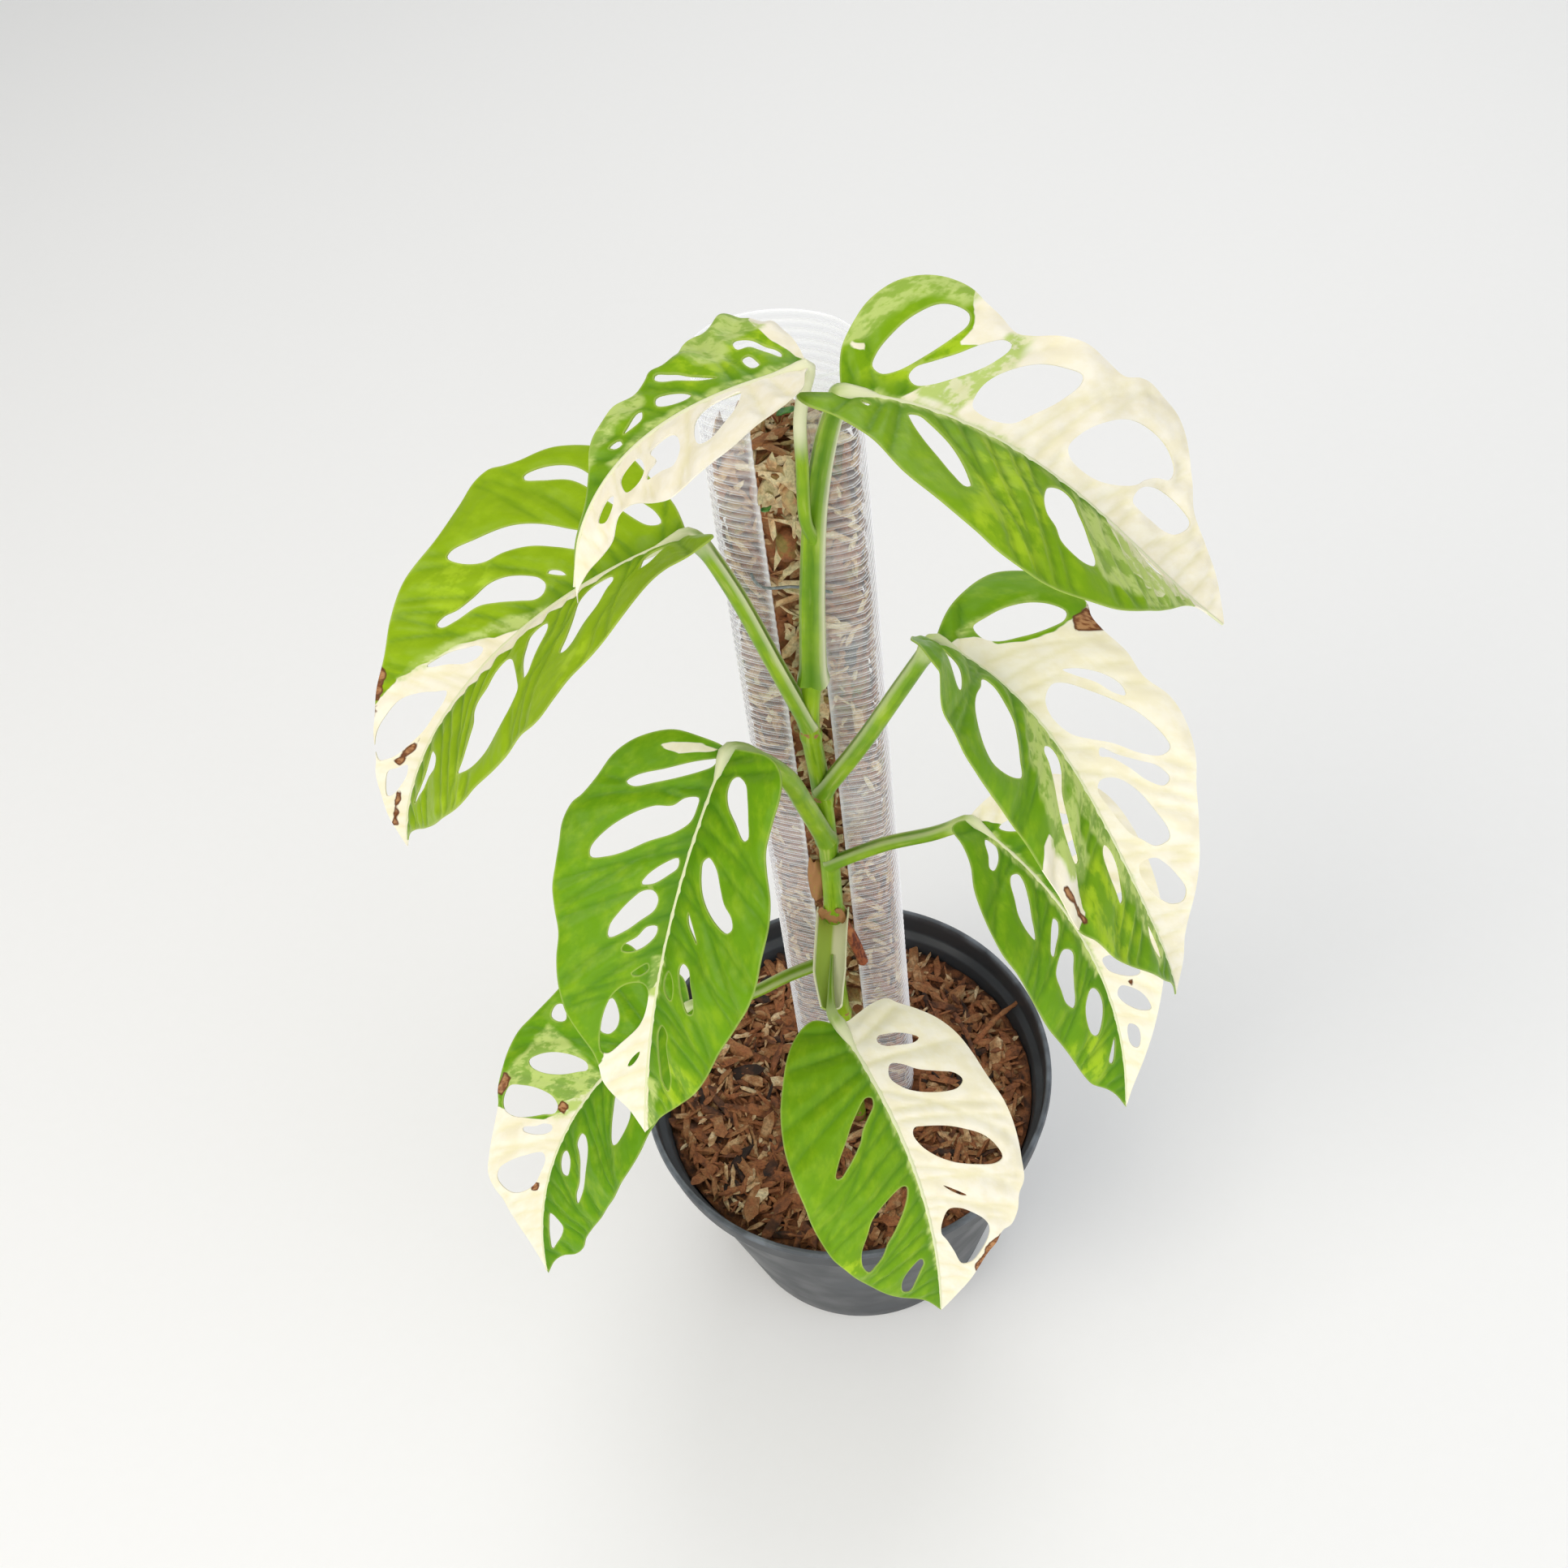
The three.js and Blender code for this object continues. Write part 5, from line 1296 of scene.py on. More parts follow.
def stalk_shape(plan, blade, leaf):
    """A stalk that runs on as the midrib: a tube with a channel along its top between two pale ridges,
    thicker where it bears the blade, and thin and pale along the blade."""
    rib_at = np.concatenate([[5.0], np.arange(10, blade.length - 3, 9.0), [blade.length + 0.5]])
    share = rib_at / blade.length
    rib_radius = 0.35 + 1.05 * np.clip(1 - share, 0, 1) ** 0.8
    _, right, up = blade.axes(rib_at)
    settle = smoothstep(rib_at, 0, 12)
    drop = (to_mm(leaf.thickness) / 2 + 0.3 - rib_radius) * settle
    rib = blade.midrib(rib_at) + up * drop[:, None]
    foot, neck = plan["stalk_radii"]
    stalk = np.asarray(plan["stalk"], float)
    knots = np.concatenate([stalk, [plan["base"]], rib])
    stalk_radii = foot + (neck - foot) * np.arange(len(stalk) + 1) / len(stalk)
    radii = np.concatenate([stalk_radii, rib_radius])
    radii[len(stalk) + 1] = neck * 0.62 + rib_radius[0] * 0.38
    lefts = -np.concatenate([np.tile(blade.axes(0.0)[1], (len(stalk) + 1, 1)), right])
    if "channel" in plan:
        lefts[: len(stalk)] = unit(np.cross(plan["channel"], stalk[-1] - stalk[0]))

    path = through(knots, 1.8)
    near = np.linalg.norm(path[:, None] - knots, axis=-1).argmin(0)
    near[0], near[-1] = 0, len(path) - 1
    steps = steps_along(path)
    radius = np.interp(steps, steps[near], radii)
    side = np.stack([np.interp(steps, steps[near], lefts[:, k]) for k in range(3)], -1)
    base_at = steps[near[len(stalk)]]
    before = base_at - steps
    radius = radius * (1 + 0.17 * bell(before, 5, 4.0) + 0.16 * bell(steps, 0, 3))
    on_stalk = smoothstep(before, -3, 4)
    grooved = on_stalk * (1 - bell(before, 4, 5)) * (0.4 + 0.6 * plan["pale_stalk"])

    sides = 20
    turns = turns_of(sides) - math.pi / 2
    from_top = np.abs(turns - math.pi / 2)
    from_top = np.minimum(from_top, TURN - from_top)
    ridge = bell(from_top, 0.72, 0.3)
    shape = 1 + grooved[:, None] * (0.13 * ridge - 0.3 * bell(from_top, 0, 0.45))
    section = circle(turns) * shape[..., None]
    points, faces = tube(path, radius, sides, side, section)
    lines = plan.get("pale_lines", ((-0.72, 0.3), (0.72, 0.3)))
    line = sum(bell(turns - math.pi / 2, angle, width) for angle, width in lines)
    pale = on_stalk[:, None] * line * plan["pale_stalk"] * 0.95 + (1 - on_stalk[:, None]) * 0.8
    pale = np.maximum(pale, plan.get("pale_neck", 0) * smoothstep(before, 34, 20)[:, None])
    pale = np.maximum(pale, 0.35 * bell(before, 5, 4)[:, None] * np.ones(sides))
    # Painted shade in the channel along the stalk's top.
    deep = 0.5 * grooved[:, None] * bell(from_top, 0, 0.5)
    around = np.broadcast_to((turns + math.pi / 2) * radius.mean(), pale.shape)
    marks = {
        "pale": with_ends(pale, pale[0, 0], pale[-1, 0]),
        "deep": with_ends(deep),
        "dry": with_ends(np.repeat(0.3 * bell(steps, 0, 2.5), sides)),
        "u": with_ends(around) * MM,
        "v": with_ends(np.repeat(steps, sides), 0.0, steps[-1]) * MM,
    }
    marks.update(BLADE_MARKS)
    return points, faces, marks


# The sheath of the front leaf is an open channel round the stalk: path, half widths, and one cut across it.
SHEATH_PATH = [(4.8, -9, 253.5), (5, -22, 253), (5.6, -38, 251), (7, -50, 249.5)]
SHEATH_HALF = [6.2, 6.2, 6.3, 4.2]
SHEATH_CUT = [(-0.95, 0.5), (-0.86, 0.1), (-0.66, -0.25), (-0.35, -0.45), (0, -0.5), (0.35, -0.45),
              (0.66, -0.25), (0.86, 0.1), (0.95, 0.5)]


def sheath_shape():
    """The channel's cut, as wide as the half widths say, carried along its path and given a thickness that
    thins to the margins."""
    path = through(SHEATH_PATH, 1.2)
    cut = through(SHEATH_CUT, 0.09)
    half = np.interp(np.linspace(0, 1, len(path)), np.linspace(0, 1, len(SHEATH_HALF)), SHEATH_HALF)
    along = unit(np.gradient(path, axis=0))
    side = np.array([-1.0, 0, 0])
    across = unit(side - (along @ side)[:, None] * along)
    up = np.cross(across, along)
    grid = path[:, None] + (across[:, None] * cut[:, :1] + up[:, None] * cut[:, 1:]) * half[:, None, None]
    place = np.linspace(-1, 1, len(cut))
    thickness = 1.3 - 0.7 * np.abs(place)
    points, faces = thick_sheet(grid, thickness)
    rows = len(path)
    # Its left margin is edged with cream, and a broad cream strip runs down its right side.
    strips = np.maximum(smoothstep(place, 0.78, 0.92), smoothstep(-place, -0.1, 0.1))
    pale = np.tile(np.maximum(strips, 0.15), (rows, 1))
    along_mm = np.arange(rows)[:, None] * 1.2 + 0 * place
    marks = {
        "pale": np.tile(pale.ravel(), 2),
        "deep": 0.0,
        "dry": 0.0,
        "u": np.tile(np.tile(place * 9, (rows, 1)).ravel(), 2) * MM,
        "v": np.tile(along_mm.ravel(), 2) * MM,
    }
    marks.update(BLADE_MARKS, lime=0.9)
    return points, faces, marks


def make_leaf(name, plan, leaf, finishes, seed):
    """One leaf as one piece: blade, stalk and midrib, and the front leaf's sheath."""
    blade = Blade(plan)
    shapes = [blade_shape(plan, blade, leaf, seed), stalk_shape(plan, blade, leaf)]
    if name == "leaf_front":
        shapes.append(sheath_shape())
    upper, under, walls = (len(group) for group in shapes[0][1])
    rest = sum(len(group) for shape in shapes[1:] for group in shape[1])
    kinds = np.repeat([0, 1, 0, 2], [upper, under, walls, rest])
    make_piece(f"{name}_fine", merged(shapes), finishes, replaces=[name], kinds=kinds, sharp=50)


# Pot

POT_SIDES = 144
BAND = 13  # height of the smooth band under the lip
BAND_INSET = 5.4  # how far within the lip the wall meets the band
FLOOR = 2.2  # the floor's thickness
PANEL_RISE = 1.4  # how high the floor's ring round the drain holes is raised
PANEL = (38.5, 52)  # the inner and outer radius of this ring
PANEL_PITCH = 3.0  # spacing of the points that fill it
DRAIN_HOLES, DRAIN_RADIUS, DRAIN_RING = 6, 4.5, 45.5
DRAIN_TURN = 0.5236  # the holes are turned about the axis by 30 degrees, in radians


def wall_radius(pot, height):
    """The outer radius of the tapered wall, which ends a band's height under the lip."""
    top = to_mm(pot.height) - BAND
    base = to_mm(pot.base_radius)
    return base + (to_mm(pot.rim_radius) - BAND_INSET - base) * height / top


def pot_shape(pot):
    """The pot's profile turned round the axis, and its raised floor ring filled round the drain holes. The
    profile runs from that ring out to the foot, up the outside, over the lip and down the inside."""
    rim, height, wall = to_mm(pot.rim_radius), to_mm(pot.height), to_mm(pot.wall)
    top = height - BAND
    outer = wall_radius(pot, top)
    inner, outer_panel = PANEL
    profile = [
        (outer_panel, PANEL_RISE),
        (outer_panel + 1.5, 0),
        (to_mm(pot.base_radius), 0),
        (wall_radius(pot, top - 1.5), top - 1.5),
        (rim - 1.8, top),
        (rim - 1.4, height - 3.4),
        (rim, height - 2.8),
        (rim - 0.6, height),
        (rim - 2.6, height),
        (rim - 3.6, top + 1.6),
        (outer - wall, top - 1),
        (wall_radius(pot, FLOOR) - wall, FLOOR),
        (outer_panel + 1, FLOOR),
        (outer_panel - 0.5, PANEL_RISE + FLOOR),
    ]
    body = softened(profile, 0.8)[3:-3]
    body = np.concatenate([[profile[0]], body, [profile[-1]]])
    steps = [body[:1]]
    for a, b in zip(body[:-1], body[1:]):
        count = max(1, int(np.hypot(*(b - a)) / 9))
        steps.append(a + (b - a) * (np.arange(1, count + 1) / count)[:, None])
    middle = [(0, 0), (inner - 1.5, 0), (inner, PANEL_RISE)]
    above = [(inner + 0.5, PANEL_RISE + FLOOR), (inner - 1, FLOOR), (0, FLOOR)]
    shapes = [(*turned(part, POT_SIDES), {}) for part in (np.concatenate(steps), middle, above)]

    cosine, sine = math.cos(DRAIN_TURN), 0.5
    places = DRAIN_RING * circle(turns_of(DRAIN_HOLES)) @ np.array([[cosine, sine], [-sine, cosine]])
    holes = [place + DRAIN_RADIUS * circle(turns_of(24)) for place in places]
    floors = [(outer_panel, inner, PANEL_RISE), (outer_panel - 0.5, inner + 0.5, PANEL_RISE + FLOOR)]
    around = circle(turns_of(POT_SIDES))
    for outside, within, level in floors:
        flat, triangles, _ = filled(outside * around, [within * around, *holes], PANEL_PITCH)
        corner = flat[triangles]
        edge_a, edge_b = corner[:, 1] - corner[:, 0], corner[:, 2] - corner[:, 0]
        upward = edge_a[:, 0] * edge_b[:, 1] - edge_a[:, 1] * edge_b[:, 0] > 0
        wanted = level > FLOOR
        triangles[upward != wanted] = triangles[upward != wanted][:, ::-1]
        shapes.append((np.column_stack([flat, np.full(len(flat), level)]), [triangles], {}))
    for hole in holes:
        rows = np.array([PANEL_RISE + FLOOR, PANEL_RISE])[:, None]
        wall_points = np.stack([hole[:, 0] + 0 * rows, hole[:, 1] + 0 * rows, rows + 0 * hole[:, 0]], -1)
        shapes.append((wall_points.reshape(-1, 3), [grid_faces(2, len(hole), wrap=True)], {}))
    return merged(shapes)


def weld(piece, gap):
    """Merges points closer than the gap, in millimetres: at poles, and where parts made apart meet."""
    mesh = bmesh.new()
    mesh.from_mesh(piece.data)
    bmesh.ops.remove_doubles(mesh, verts=mesh.verts, dist=gap * MM)
    bmesh.ops.dissolve_degenerate(mesh, dist=gap * MM, edges=mesh.edges)
    mesh.to_mesh(piece.data)
    mesh.free()


# Bark and husk

CHIP_RINGS = (-0.28, 0.04, 0.32)  # where a chip's cuts are, as shares of its length
CHIP_SIDES = 5


def chips(places, forward, normal, sizes, tones, draw, moss=0.0):
    """Many chips as one shape. A chip is a bent lens with two points and three uneven five-sided cuts.

    forward is the way its length lies, normal the way its thickness lies, sizes its length, width and
    thickness, and tones its shade.
    """
    count = len(places)
    forward = unit(forward)
    across = unit(np.cross(normal, forward))
    normal = np.cross(forward, across)
    turns = turns_of(CHIP_SIDES)
    rings = np.array([[(x, 0.5 * math.cos(t), 0.5 * math.sin(t)) for t in turns] for x in CHIP_RINGS])
    rings = rings * np.array([1, 0.86, 0.9])
    unit_chip = np.concatenate([rings.reshape(-1, 3), [(-0.5, 0, 0), (0.5, 0, 0)]])
    local = unit_chip + draw.normal(scale=(0.03, 0.1, 0.12), size=(count, len(unit_chip), 3))
    bend = draw.normal(scale=0.35, size=(count, 1))
    slimness = sizes[:, :1] / np.maximum(sizes[:, 2:], 0.4)
    local[..., 2] += bend * (local[..., 0] ** 2 - 0.08) * slimness * 0.5
    local *= sizes[:, None]
    axes = np.stack([forward, across, normal], 1)
    points = np.einsum("nki,nij->nkj", local, axes) + places[:, None]
    offsets = (np.arange(count) * len(unit_chip))[:, None, None]
    one_chip = closed_rings(len(CHIP_RINGS), CHIP_SIDES)
    faces = [(group + offsets).reshape(-1, group.shape[1]) for group in one_chip]
    marks = {
        "tone": np.repeat(tones, len(unit_chip)),
        "moss": np.repeat(np.broadcast_to(moss, count), len(unit_chip)),
    }
    return points.reshape(-1, 3), faces, marks


def chip_sizes(draw, count, length):
    """Lengths, widths and thicknesses: mostly small splinters, and a few large flakes."""
    longest = length * np.exp(draw.normal(scale=0.42, size=count))
    width = longest * draw.uniform(0.13, 0.34, count)
    return np.stack([longest, np.clip(width, 1.0, 7), np.clip(width * 0.55, 0.7, 2.4)], -1)


def tones(draw, count, paler=0.0):
    """Shades of chips from nearly black, 0, to pale husk, 1."""
    kind = draw.uniform(size=count)
    shade = np.select([kind < 0.08, kind < 0.42, kind < 0.8], [0.1, 0.36, 0.54], 0.76)
    return np.clip(shade + paler + draw.normal(scale=0.1, size=count), 0, 0.98)


def mix_level(mix, x, y):
    """The mix lies a little higher along the wall than round the pole, with low heaps between."""
    spot = np.stack([x, y], -1)
    return to_mm(mix.level) - 1.5 + 2.4 * smoothstep(np.hypot(x, y), 30, 78) + 1.6 * bumps(spot, 34, 5)


def mix_bed_shape(mix, pot):
    """The damp bed under the loose chips: a disc of rings of uneven height, a wall and a flat underside."""
    sides, rings = 120, 34
    edge = wall_radius(pot, to_mm(mix.level)) - to_mm(pot.wall) - 0.5
    radius = np.linspace(0, edge, rings)
    turns = turns_of(sides)
    x, y = radius[:, None] * np.cos(turns), radius[:, None] * np.sin(turns)
    top = mix_level(mix, x, y) - 2 + 1.1 * bumps(np.stack([x, y], -1), 5, 6)
    top[0] = top[0].mean()
    surface = np.stack([x, y, top], -1)[::-1]
    heights = np.linspace(3.9, to_mm(mix.level) - 8, 8)
    walls = []
    for height in heights:
        at = wall_radius(pot, height) - to_mm(pot.wall) - 0.6
        walls.append(np.column_stack([at * circle(turns), np.full(sides, height)]))
    under = np.tile([0, 0, heights[0]], (sides, 1))
    rows = np.concatenate([[under], walls, surface])
    points = rows.reshape(-1, 3)
    tone = 0.28 + 0.12 * bumps(points, 8, 7)
    return points, [grid_faces(len(rows), sides, wrap=True)], {"tone": tone, "moss": 0.0}


def in_pole(x, y, margin):
    """Whether a place lies in the pole or within the margin of it."""
    beside = np.abs(x - POLE_X) < POLE_BACK_HALF + margin
    return beside & (y > SLOT_Y - margin) & (y < POLE_BACK_Y + POLE_BACK_DEPTH + margin)


def mix_chips_shape(mix, pot):
    """Loose chips strewn over the bed, lying nearly flat, some leaning on the pot's wall."""
    draw = np.random.default_rng(21)
    count = mix.chips
    edge = wall_radius(pot, to_mm(mix.level)) - to_mm(pot.wall)
    sizes = chip_sizes(draw, count, to_mm(mix.chip_length))
    radius = (edge - 1 - 0.3 * sizes[:, 0]) * np.sqrt(draw.uniform(0.02, 1, count))
    turn = draw.uniform(0, TURN, count)
    x, y = radius * np.cos(turn), radius * np.sin(turn)
    stem_x, stem_y, _ = STEM_PATH[1]
    keep = ~in_pole(x, y, 2.5) & (np.hypot(x - stem_x, y - stem_y) > STEM_CLEARANCE)
    x, y, sizes, count = x[keep], y[keep], sizes[keep], int(keep.sum())
    z = mix_level(mix, x, y) + draw.uniform(-2.2, 1.6, count)
    forward = np.stack(
        [draw.normal(size=count), draw.normal(size=count), draw.normal(scale=0.28, size=count)], -1
    )
    normal = np.stack(
        [draw.normal(scale=0.4, size=count), draw.normal(scale=0.4, size=count), np.ones(count)], -1
    )
    places = np.stack([x, y, z], -1)
    return chips(places, forward, normal, sizes, tones(draw, count), draw)


# Two twigs that lie on the mix: places that each passes through, radius and shade.
TWIGS = [
    ([(56, 25, 109.5), (66, 37, 112.5), (76, 46, 113)], 1.3, 0.5),
    ([(46, 39, 110), (52, 27, 112), (57, 13, 111)], 1.1, 0.28),
]


def twig_shapes():
    """Thin bent twigs with swollen buds: tubes whose radius swells in places."""
    shapes = []
    for spots, radius, tone in TWIGS:
        path = through(spots, 0.9)
        steps = np.arange(len(path))
        radii = radius * (1 - 0.35 * steps / len(path) + 0.25 * bell(steps % 9, 4, 1.5))
        path, radii = round_ends(path, radii)
        shapes.append((*tube(path, radii, 10, (0, 0, 1)), {"tone": tone, "moss": 0.0}))
    return shapes


# Pole

POLE_X = 4
SLOT_HALF, SLOT_Y = 7.2, -4  # the slot's edges
FOLD_HALF, FOLD_Y = 21.8, -0.9  # the folds between the front flaps and the round back
POLE_BACK_HALF, POLE_BACK_Y, POLE_BACK_DEPTH = 24.3, 13.5, 16.5  # the half ellipse of the back
POLE_FOOT, POLE_TOP, FILL_TOP = 30, 499, 468
RIB_ROWS = 6  # rows of faces that one rib takes
SLOT_CHIPS, TOP_CHIPS = 330, 85  # loose chips in the slot, and flakes on top of the fill


def sheet_line(inset, step):
    """The sleeve seen from above, from the right edge of the slot round the back to its left edge: flaps,
    folds and half an ellipse, moved inwards by the inset."""
    reach = (POLE_BACK_HALF - inset, POLE_BACK_DEPTH - inset)
    back = circle(np.linspace(0, math.pi, 20)) * reach + (0, POLE_BACK_Y)
    right = [
        (SLOT_HALF, SLOT_Y + inset),
        (FOLD_HALF - inset - 3, FOLD_Y + inset - 0.3),
        (FOLD_HALF - inset + 1, 2),
    ]
    left = [(-x, y) for x, y in right[::-1]]
    line = through(np.concatenate([right, back, left]), step)
    return line + (POLE_X, 0)


def along_and_out(line):
    """At each place of a line seen from above, the way along it and the way to its right."""
    run = unit(np.gradient(line, axis=0))
    return run, np.stack([run[:, 1], -run[:, 0]], -1)


def sleeve_shape(pole):
    """The sheet carried up the pole: its line is moved out and in by rounded ribs, one every pitch."""
    line = sheet_line(to_mm(pole.sheet) / 2, 3.0)
    pitch = to_mm(pole.rib_pitch)
    rows = int((POLE_TOP - POLE_FOOT) / pitch * RIB_ROWS)
    height = np.linspace(POLE_FOOT, POLE_TOP, rows)
    _, outward = along_and_out(line)
    wave = 0.5 * to_mm(pole.rib_height) * np.cos(TURN * (height - POLE_FOOT) / pitch)
    place = np.linspace(0, 1, len(line))
    from_slot = np.minimum(place, 1 - place)
    free = smoothstep(from_slot, 0.01, 0.04)
    # The edges of the slot sway in and out a little up the pole.
    spread = 0.35 * np.sin(height / 31)[:, None] * (1 - smoothstep(from_slot, 0.0, 0.12))
    moved = line + outward * (wave[:, None] * (0.35 + 0.65 * free) + spread)[..., None]
    grid = np.concatenate([moved, np.broadcast_to(height[:, None, None], (*moved.shape[:2], 1))], -1)
    points, faces = thick_sheet(grid, to_mm(pole.sheet))
    # The marks edge and rib place the painted highlights on the cut edges and rib crests, and the painted
    # shade between the ribs.
    edge = 1 - smoothstep(from_slot, 0.0, 0.012)[None] + 0 * height[:, None]
    edge = np.maximum(edge, smoothstep(height, POLE_TOP - 1.2, POLE_TOP - 0.2)[:, None])
    rib = np.repeat(0.5 + 0.5 * np.cos(TURN * (height - POLE_FOOT) / pitch), len(line))
    return points, faces, {"edge": np.tile(edge.ravel(), 2), "rib": np.tile(rib, 2)}


def core_shape():
    """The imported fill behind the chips: the sleeve's inside, drawn in and dented, with closed ends."""
    line = sheet_line(4.4, 2.2)
    front = np.linspace(line[-1], line[0], 9)[1:-1]
    ring = np.concatenate([line, front])
    heights = np.linspace(POLE_FOOT + 1, FILL_TOP - 4, 190)
    centre = ring.mean(0)

    def level(scale, height):
        """The ring drawn in towards its centre, at one height or at a height for each of its points."""
        return np.column_stack([centre + (ring - centre) * scale, np.broadcast_to(height, len(ring))])

    rings = np.stack([level(1, height) for height in heights])
    dents = 0.9 * bumps(rings, 7, 12) - 0.3
    rings[..., :2] += unit(rings[..., :2] - centre) * dents[..., None]
    under = [level(0, heights[0]), level(0.6, heights[0])]
    above = [(0.85, FILL_TOP - 3.5), (0.5, FILL_TOP - 3), (0, FILL_TOP - 3)]
    tops = [level(scale, height + bumps(ring * scale, 9, 4)) for scale, height in above]
    rows = np.concatenate([under, rings, tops])
    points = rows.reshape(-1, 3)
    tone = 0.5 + 0.16 * bumps(points, 6, 8)
    moss = smoothstep(bumps(points, 26, 9), 0.2, 1.0)
    return points, [grid_faces(len(rows), len(ring), wrap=True)], {"tone": tone, "moss": moss}


def pressed(shape, line, per_chip, draw):
    """Chips whose points outside the line are moved to the nearest place on it, and a little further in."""
    points, faces, marks = shape
    wall = np.concatenate([line, [line[-1], line[0]]])
    out = ~inside(wall, points[:, :2])
    spots = points[out, :2]
    start, run = line[:-1], np.diff(line, axis=0)
    share = np.clip(((spots[:, None] - start) * run).sum(-1) / (run * run).sum(-1), 0, 1)
    near = start + run * share[..., None]
    near = near[np.arange(len(spots)), np.linalg.norm(near - spots[:, None], axis=-1).argmin(1)]
    deeper = np.repeat(draw.uniform(0.02, 0.8, len(points) // per_chip), per_chip)[out]
    points[out, :2] = near + unit(near - spots + 1e-9) * deeper[:, None]
    return points, faces, marks


def pole_chips_shape(pole):
    """Chips pressed flat against the sheet all round, more of them loose in the slot and on top."""
    draw = np.random.default_rng(33)
    line = sheet_line(to_mm(pole.sheet) + to_mm(pole.rib_height) / 2 + 0.2, 1.6)
    run, outward = along_and_out(line)
    count = pole.chips
    pick = draw.integers(0, len(line), count)
    sizes = chip_sizes(draw, count, 9.5)
    sizes[:, 2] = np.minimum(sizes[:, 2], 1.6)
    height = draw.uniform(POLE_FOOT + 6, FILL_TOP - 2, count)
    inward = 0.1 + sizes[:, 2] / 2 + draw.uniform(0, 1.2, count)
    flat_spot = line[pick] - outward[pick] * inward[:, None]
    places = np.column_stack([flat_spot, height])
    tilt = draw.uniform(0, math.pi, count)
    forward = np.column_stack([run[pick] * np.cos(tilt)[:, None], np.sin(tilt)])
    normal = np.column_stack([outward[pick], np.zeros(count)])
    moss = 0.7 * smoothstep(bumps(places, 30, 9), 0.3, 1.1) * draw.uniform(0.2, 1, count)
    packed = chips(places, forward, normal, sizes, tones(draw, count, 0.16), draw, moss)
    shapes = [pressed(packed, line, CHIP_SIDES * len(CHIP_RINGS) + 2, draw)]

    count = SLOT_CHIPS
    sizes = chip_sizes(draw, count, 9.5)
    places = np.column_stack([
        POLE_X + draw.uniform(-1, 1, count) * (SLOT_HALF - 2.4),
        SLOT_Y + 2.2 + draw.uniform(-0.9, 1.8, count),
        draw.uniform(112, FILL_TOP, count),
    ])
    forward = draw.normal(size=(count, 3)) * (0.7, 0.3, 1)
    normal = draw.normal(size=(count, 3)) * (0.5, 0.3, 0.5) + (0, -1, 0)
    shade = tones(draw, count, 0.4)
    loose = chips(places, forward, normal, sizes, shade, draw, draw.uniform(0, 0.5, count))
    # They end against the flaps' edges.
    loose[0][:, 0] = POLE_X + np.clip(loose[0][:, 0] - POLE_X, 0.4 - SLOT_HALF, SLOT_HALF - 0.4)
    shapes.append(loose)

    # Woody flakes on top of the fill are paler and larger than the rest.
    count = TOP_CHIPS
    sizes = chip_sizes(draw, count, 12)
    turn, reach = draw.uniform(0, TURN, count), np.sqrt(draw.uniform(0, 1, count))
    places = np.column_stack([
        POLE_X + reach * np.cos(turn) * (POLE_BACK_HALF - 8),
        12.5 + reach * np.sin(turn) * (POLE_BACK_DEPTH - 4),
        FILL_TOP - 1.5 + draw.uniform(-1.5, 2.2, count),
    ])
    forward = draw.normal(size=(count, 3)) * (1, 1, 0.3)
    normal = draw.normal(size=(count, 3)) * (0.4, 0.4, 0.2) + (0, 0, 1)
    shade = tones(draw, count, 0.3)
    shapes.append(chips(places, forward, normal, sizes, shade, draw, draw.uniform(0, 0.4, count)))

    # A rounded nut-like lump in the slot.
    path, radii = round_ends([(3.0, -1.4, 432), (3.4, -1.2, 437)], np.array([3.4, 3.6]), rings=6)
    shapes.append((*tube(path, radii, 18, (1, 0, 0)), {"tone": 0.42, "moss": 0.5}))
    return merged(shapes)


# Seedlings in the fill: places that the stem passes through, and how wide the round leaflet on top is.
SEEDLINGS = [
    ([(2, 17, 466), (0, 15, 473), (-3, 13.5, 478)], 6.2),
    ([(2.5, 16, 466), (4, 14, 472), (5.5, 11, 475.5)], 5.6),
    ([(2, 17, 466), (2.6, 19, 474), (2, 20.5, 480)], 5.0),
    ([(2.4, 16.5, 466), (8, 18, 471), (11, 17.5, 474)], 4.4),
    ([(0.6, -2.4, 449), (0, -5.2, 451), (-0.8, -6.4, 452.5)], 3.2),
]
LEAFLET_THICKNESS = 0.35


def seedling_shapes():
    """Round leaflets with three shallow lobes, slightly cupped, each on a hair-thin stem."""
    leaflets, stems = [], []
    columns = 24
    turns = turns_of(columns)
    # Rows run out along the underside and back in over the upper side.
    reach = np.array([0, 0.25, 0.5, 0.75, 1, 1, 0.75, 0.5, 0.25, 0])[:, None]
    upper = np.repeat([0, 1], 5)[:, None]
    for number, (spots, width) in enumerate(SEEDLINGS):
        radius = reach * width / 2 * (1 + 0.13 * np.cos(3 * turns + number))
        cup = 0.9 * reach**2 + 0.25 * np.sin(3 * turns) * reach + LEAFLET_THICKNESS * upper
        x, y = radius * np.cos(turns), radius * np.sin(turns)
        lean = 0.35 * math.sin(number * 2.1) * x - 0.32 * y
        grid = np.stack([x, y, cup + lean], -1) + spots[-1]
        leaflets.append((grid.reshape(-1, 3), [grid_faces(len(reach), columns, wrap=True)], {}))
        path = through(spots, 0.8)
        path, radii = round_ends(path, np.full(len(path), 0.33), rings=2)
        stems.append((*tube(path, radii, 6, (1, 0.2, 0)), {}))
    return leaflets, stems


# Stem, root, husks and tie

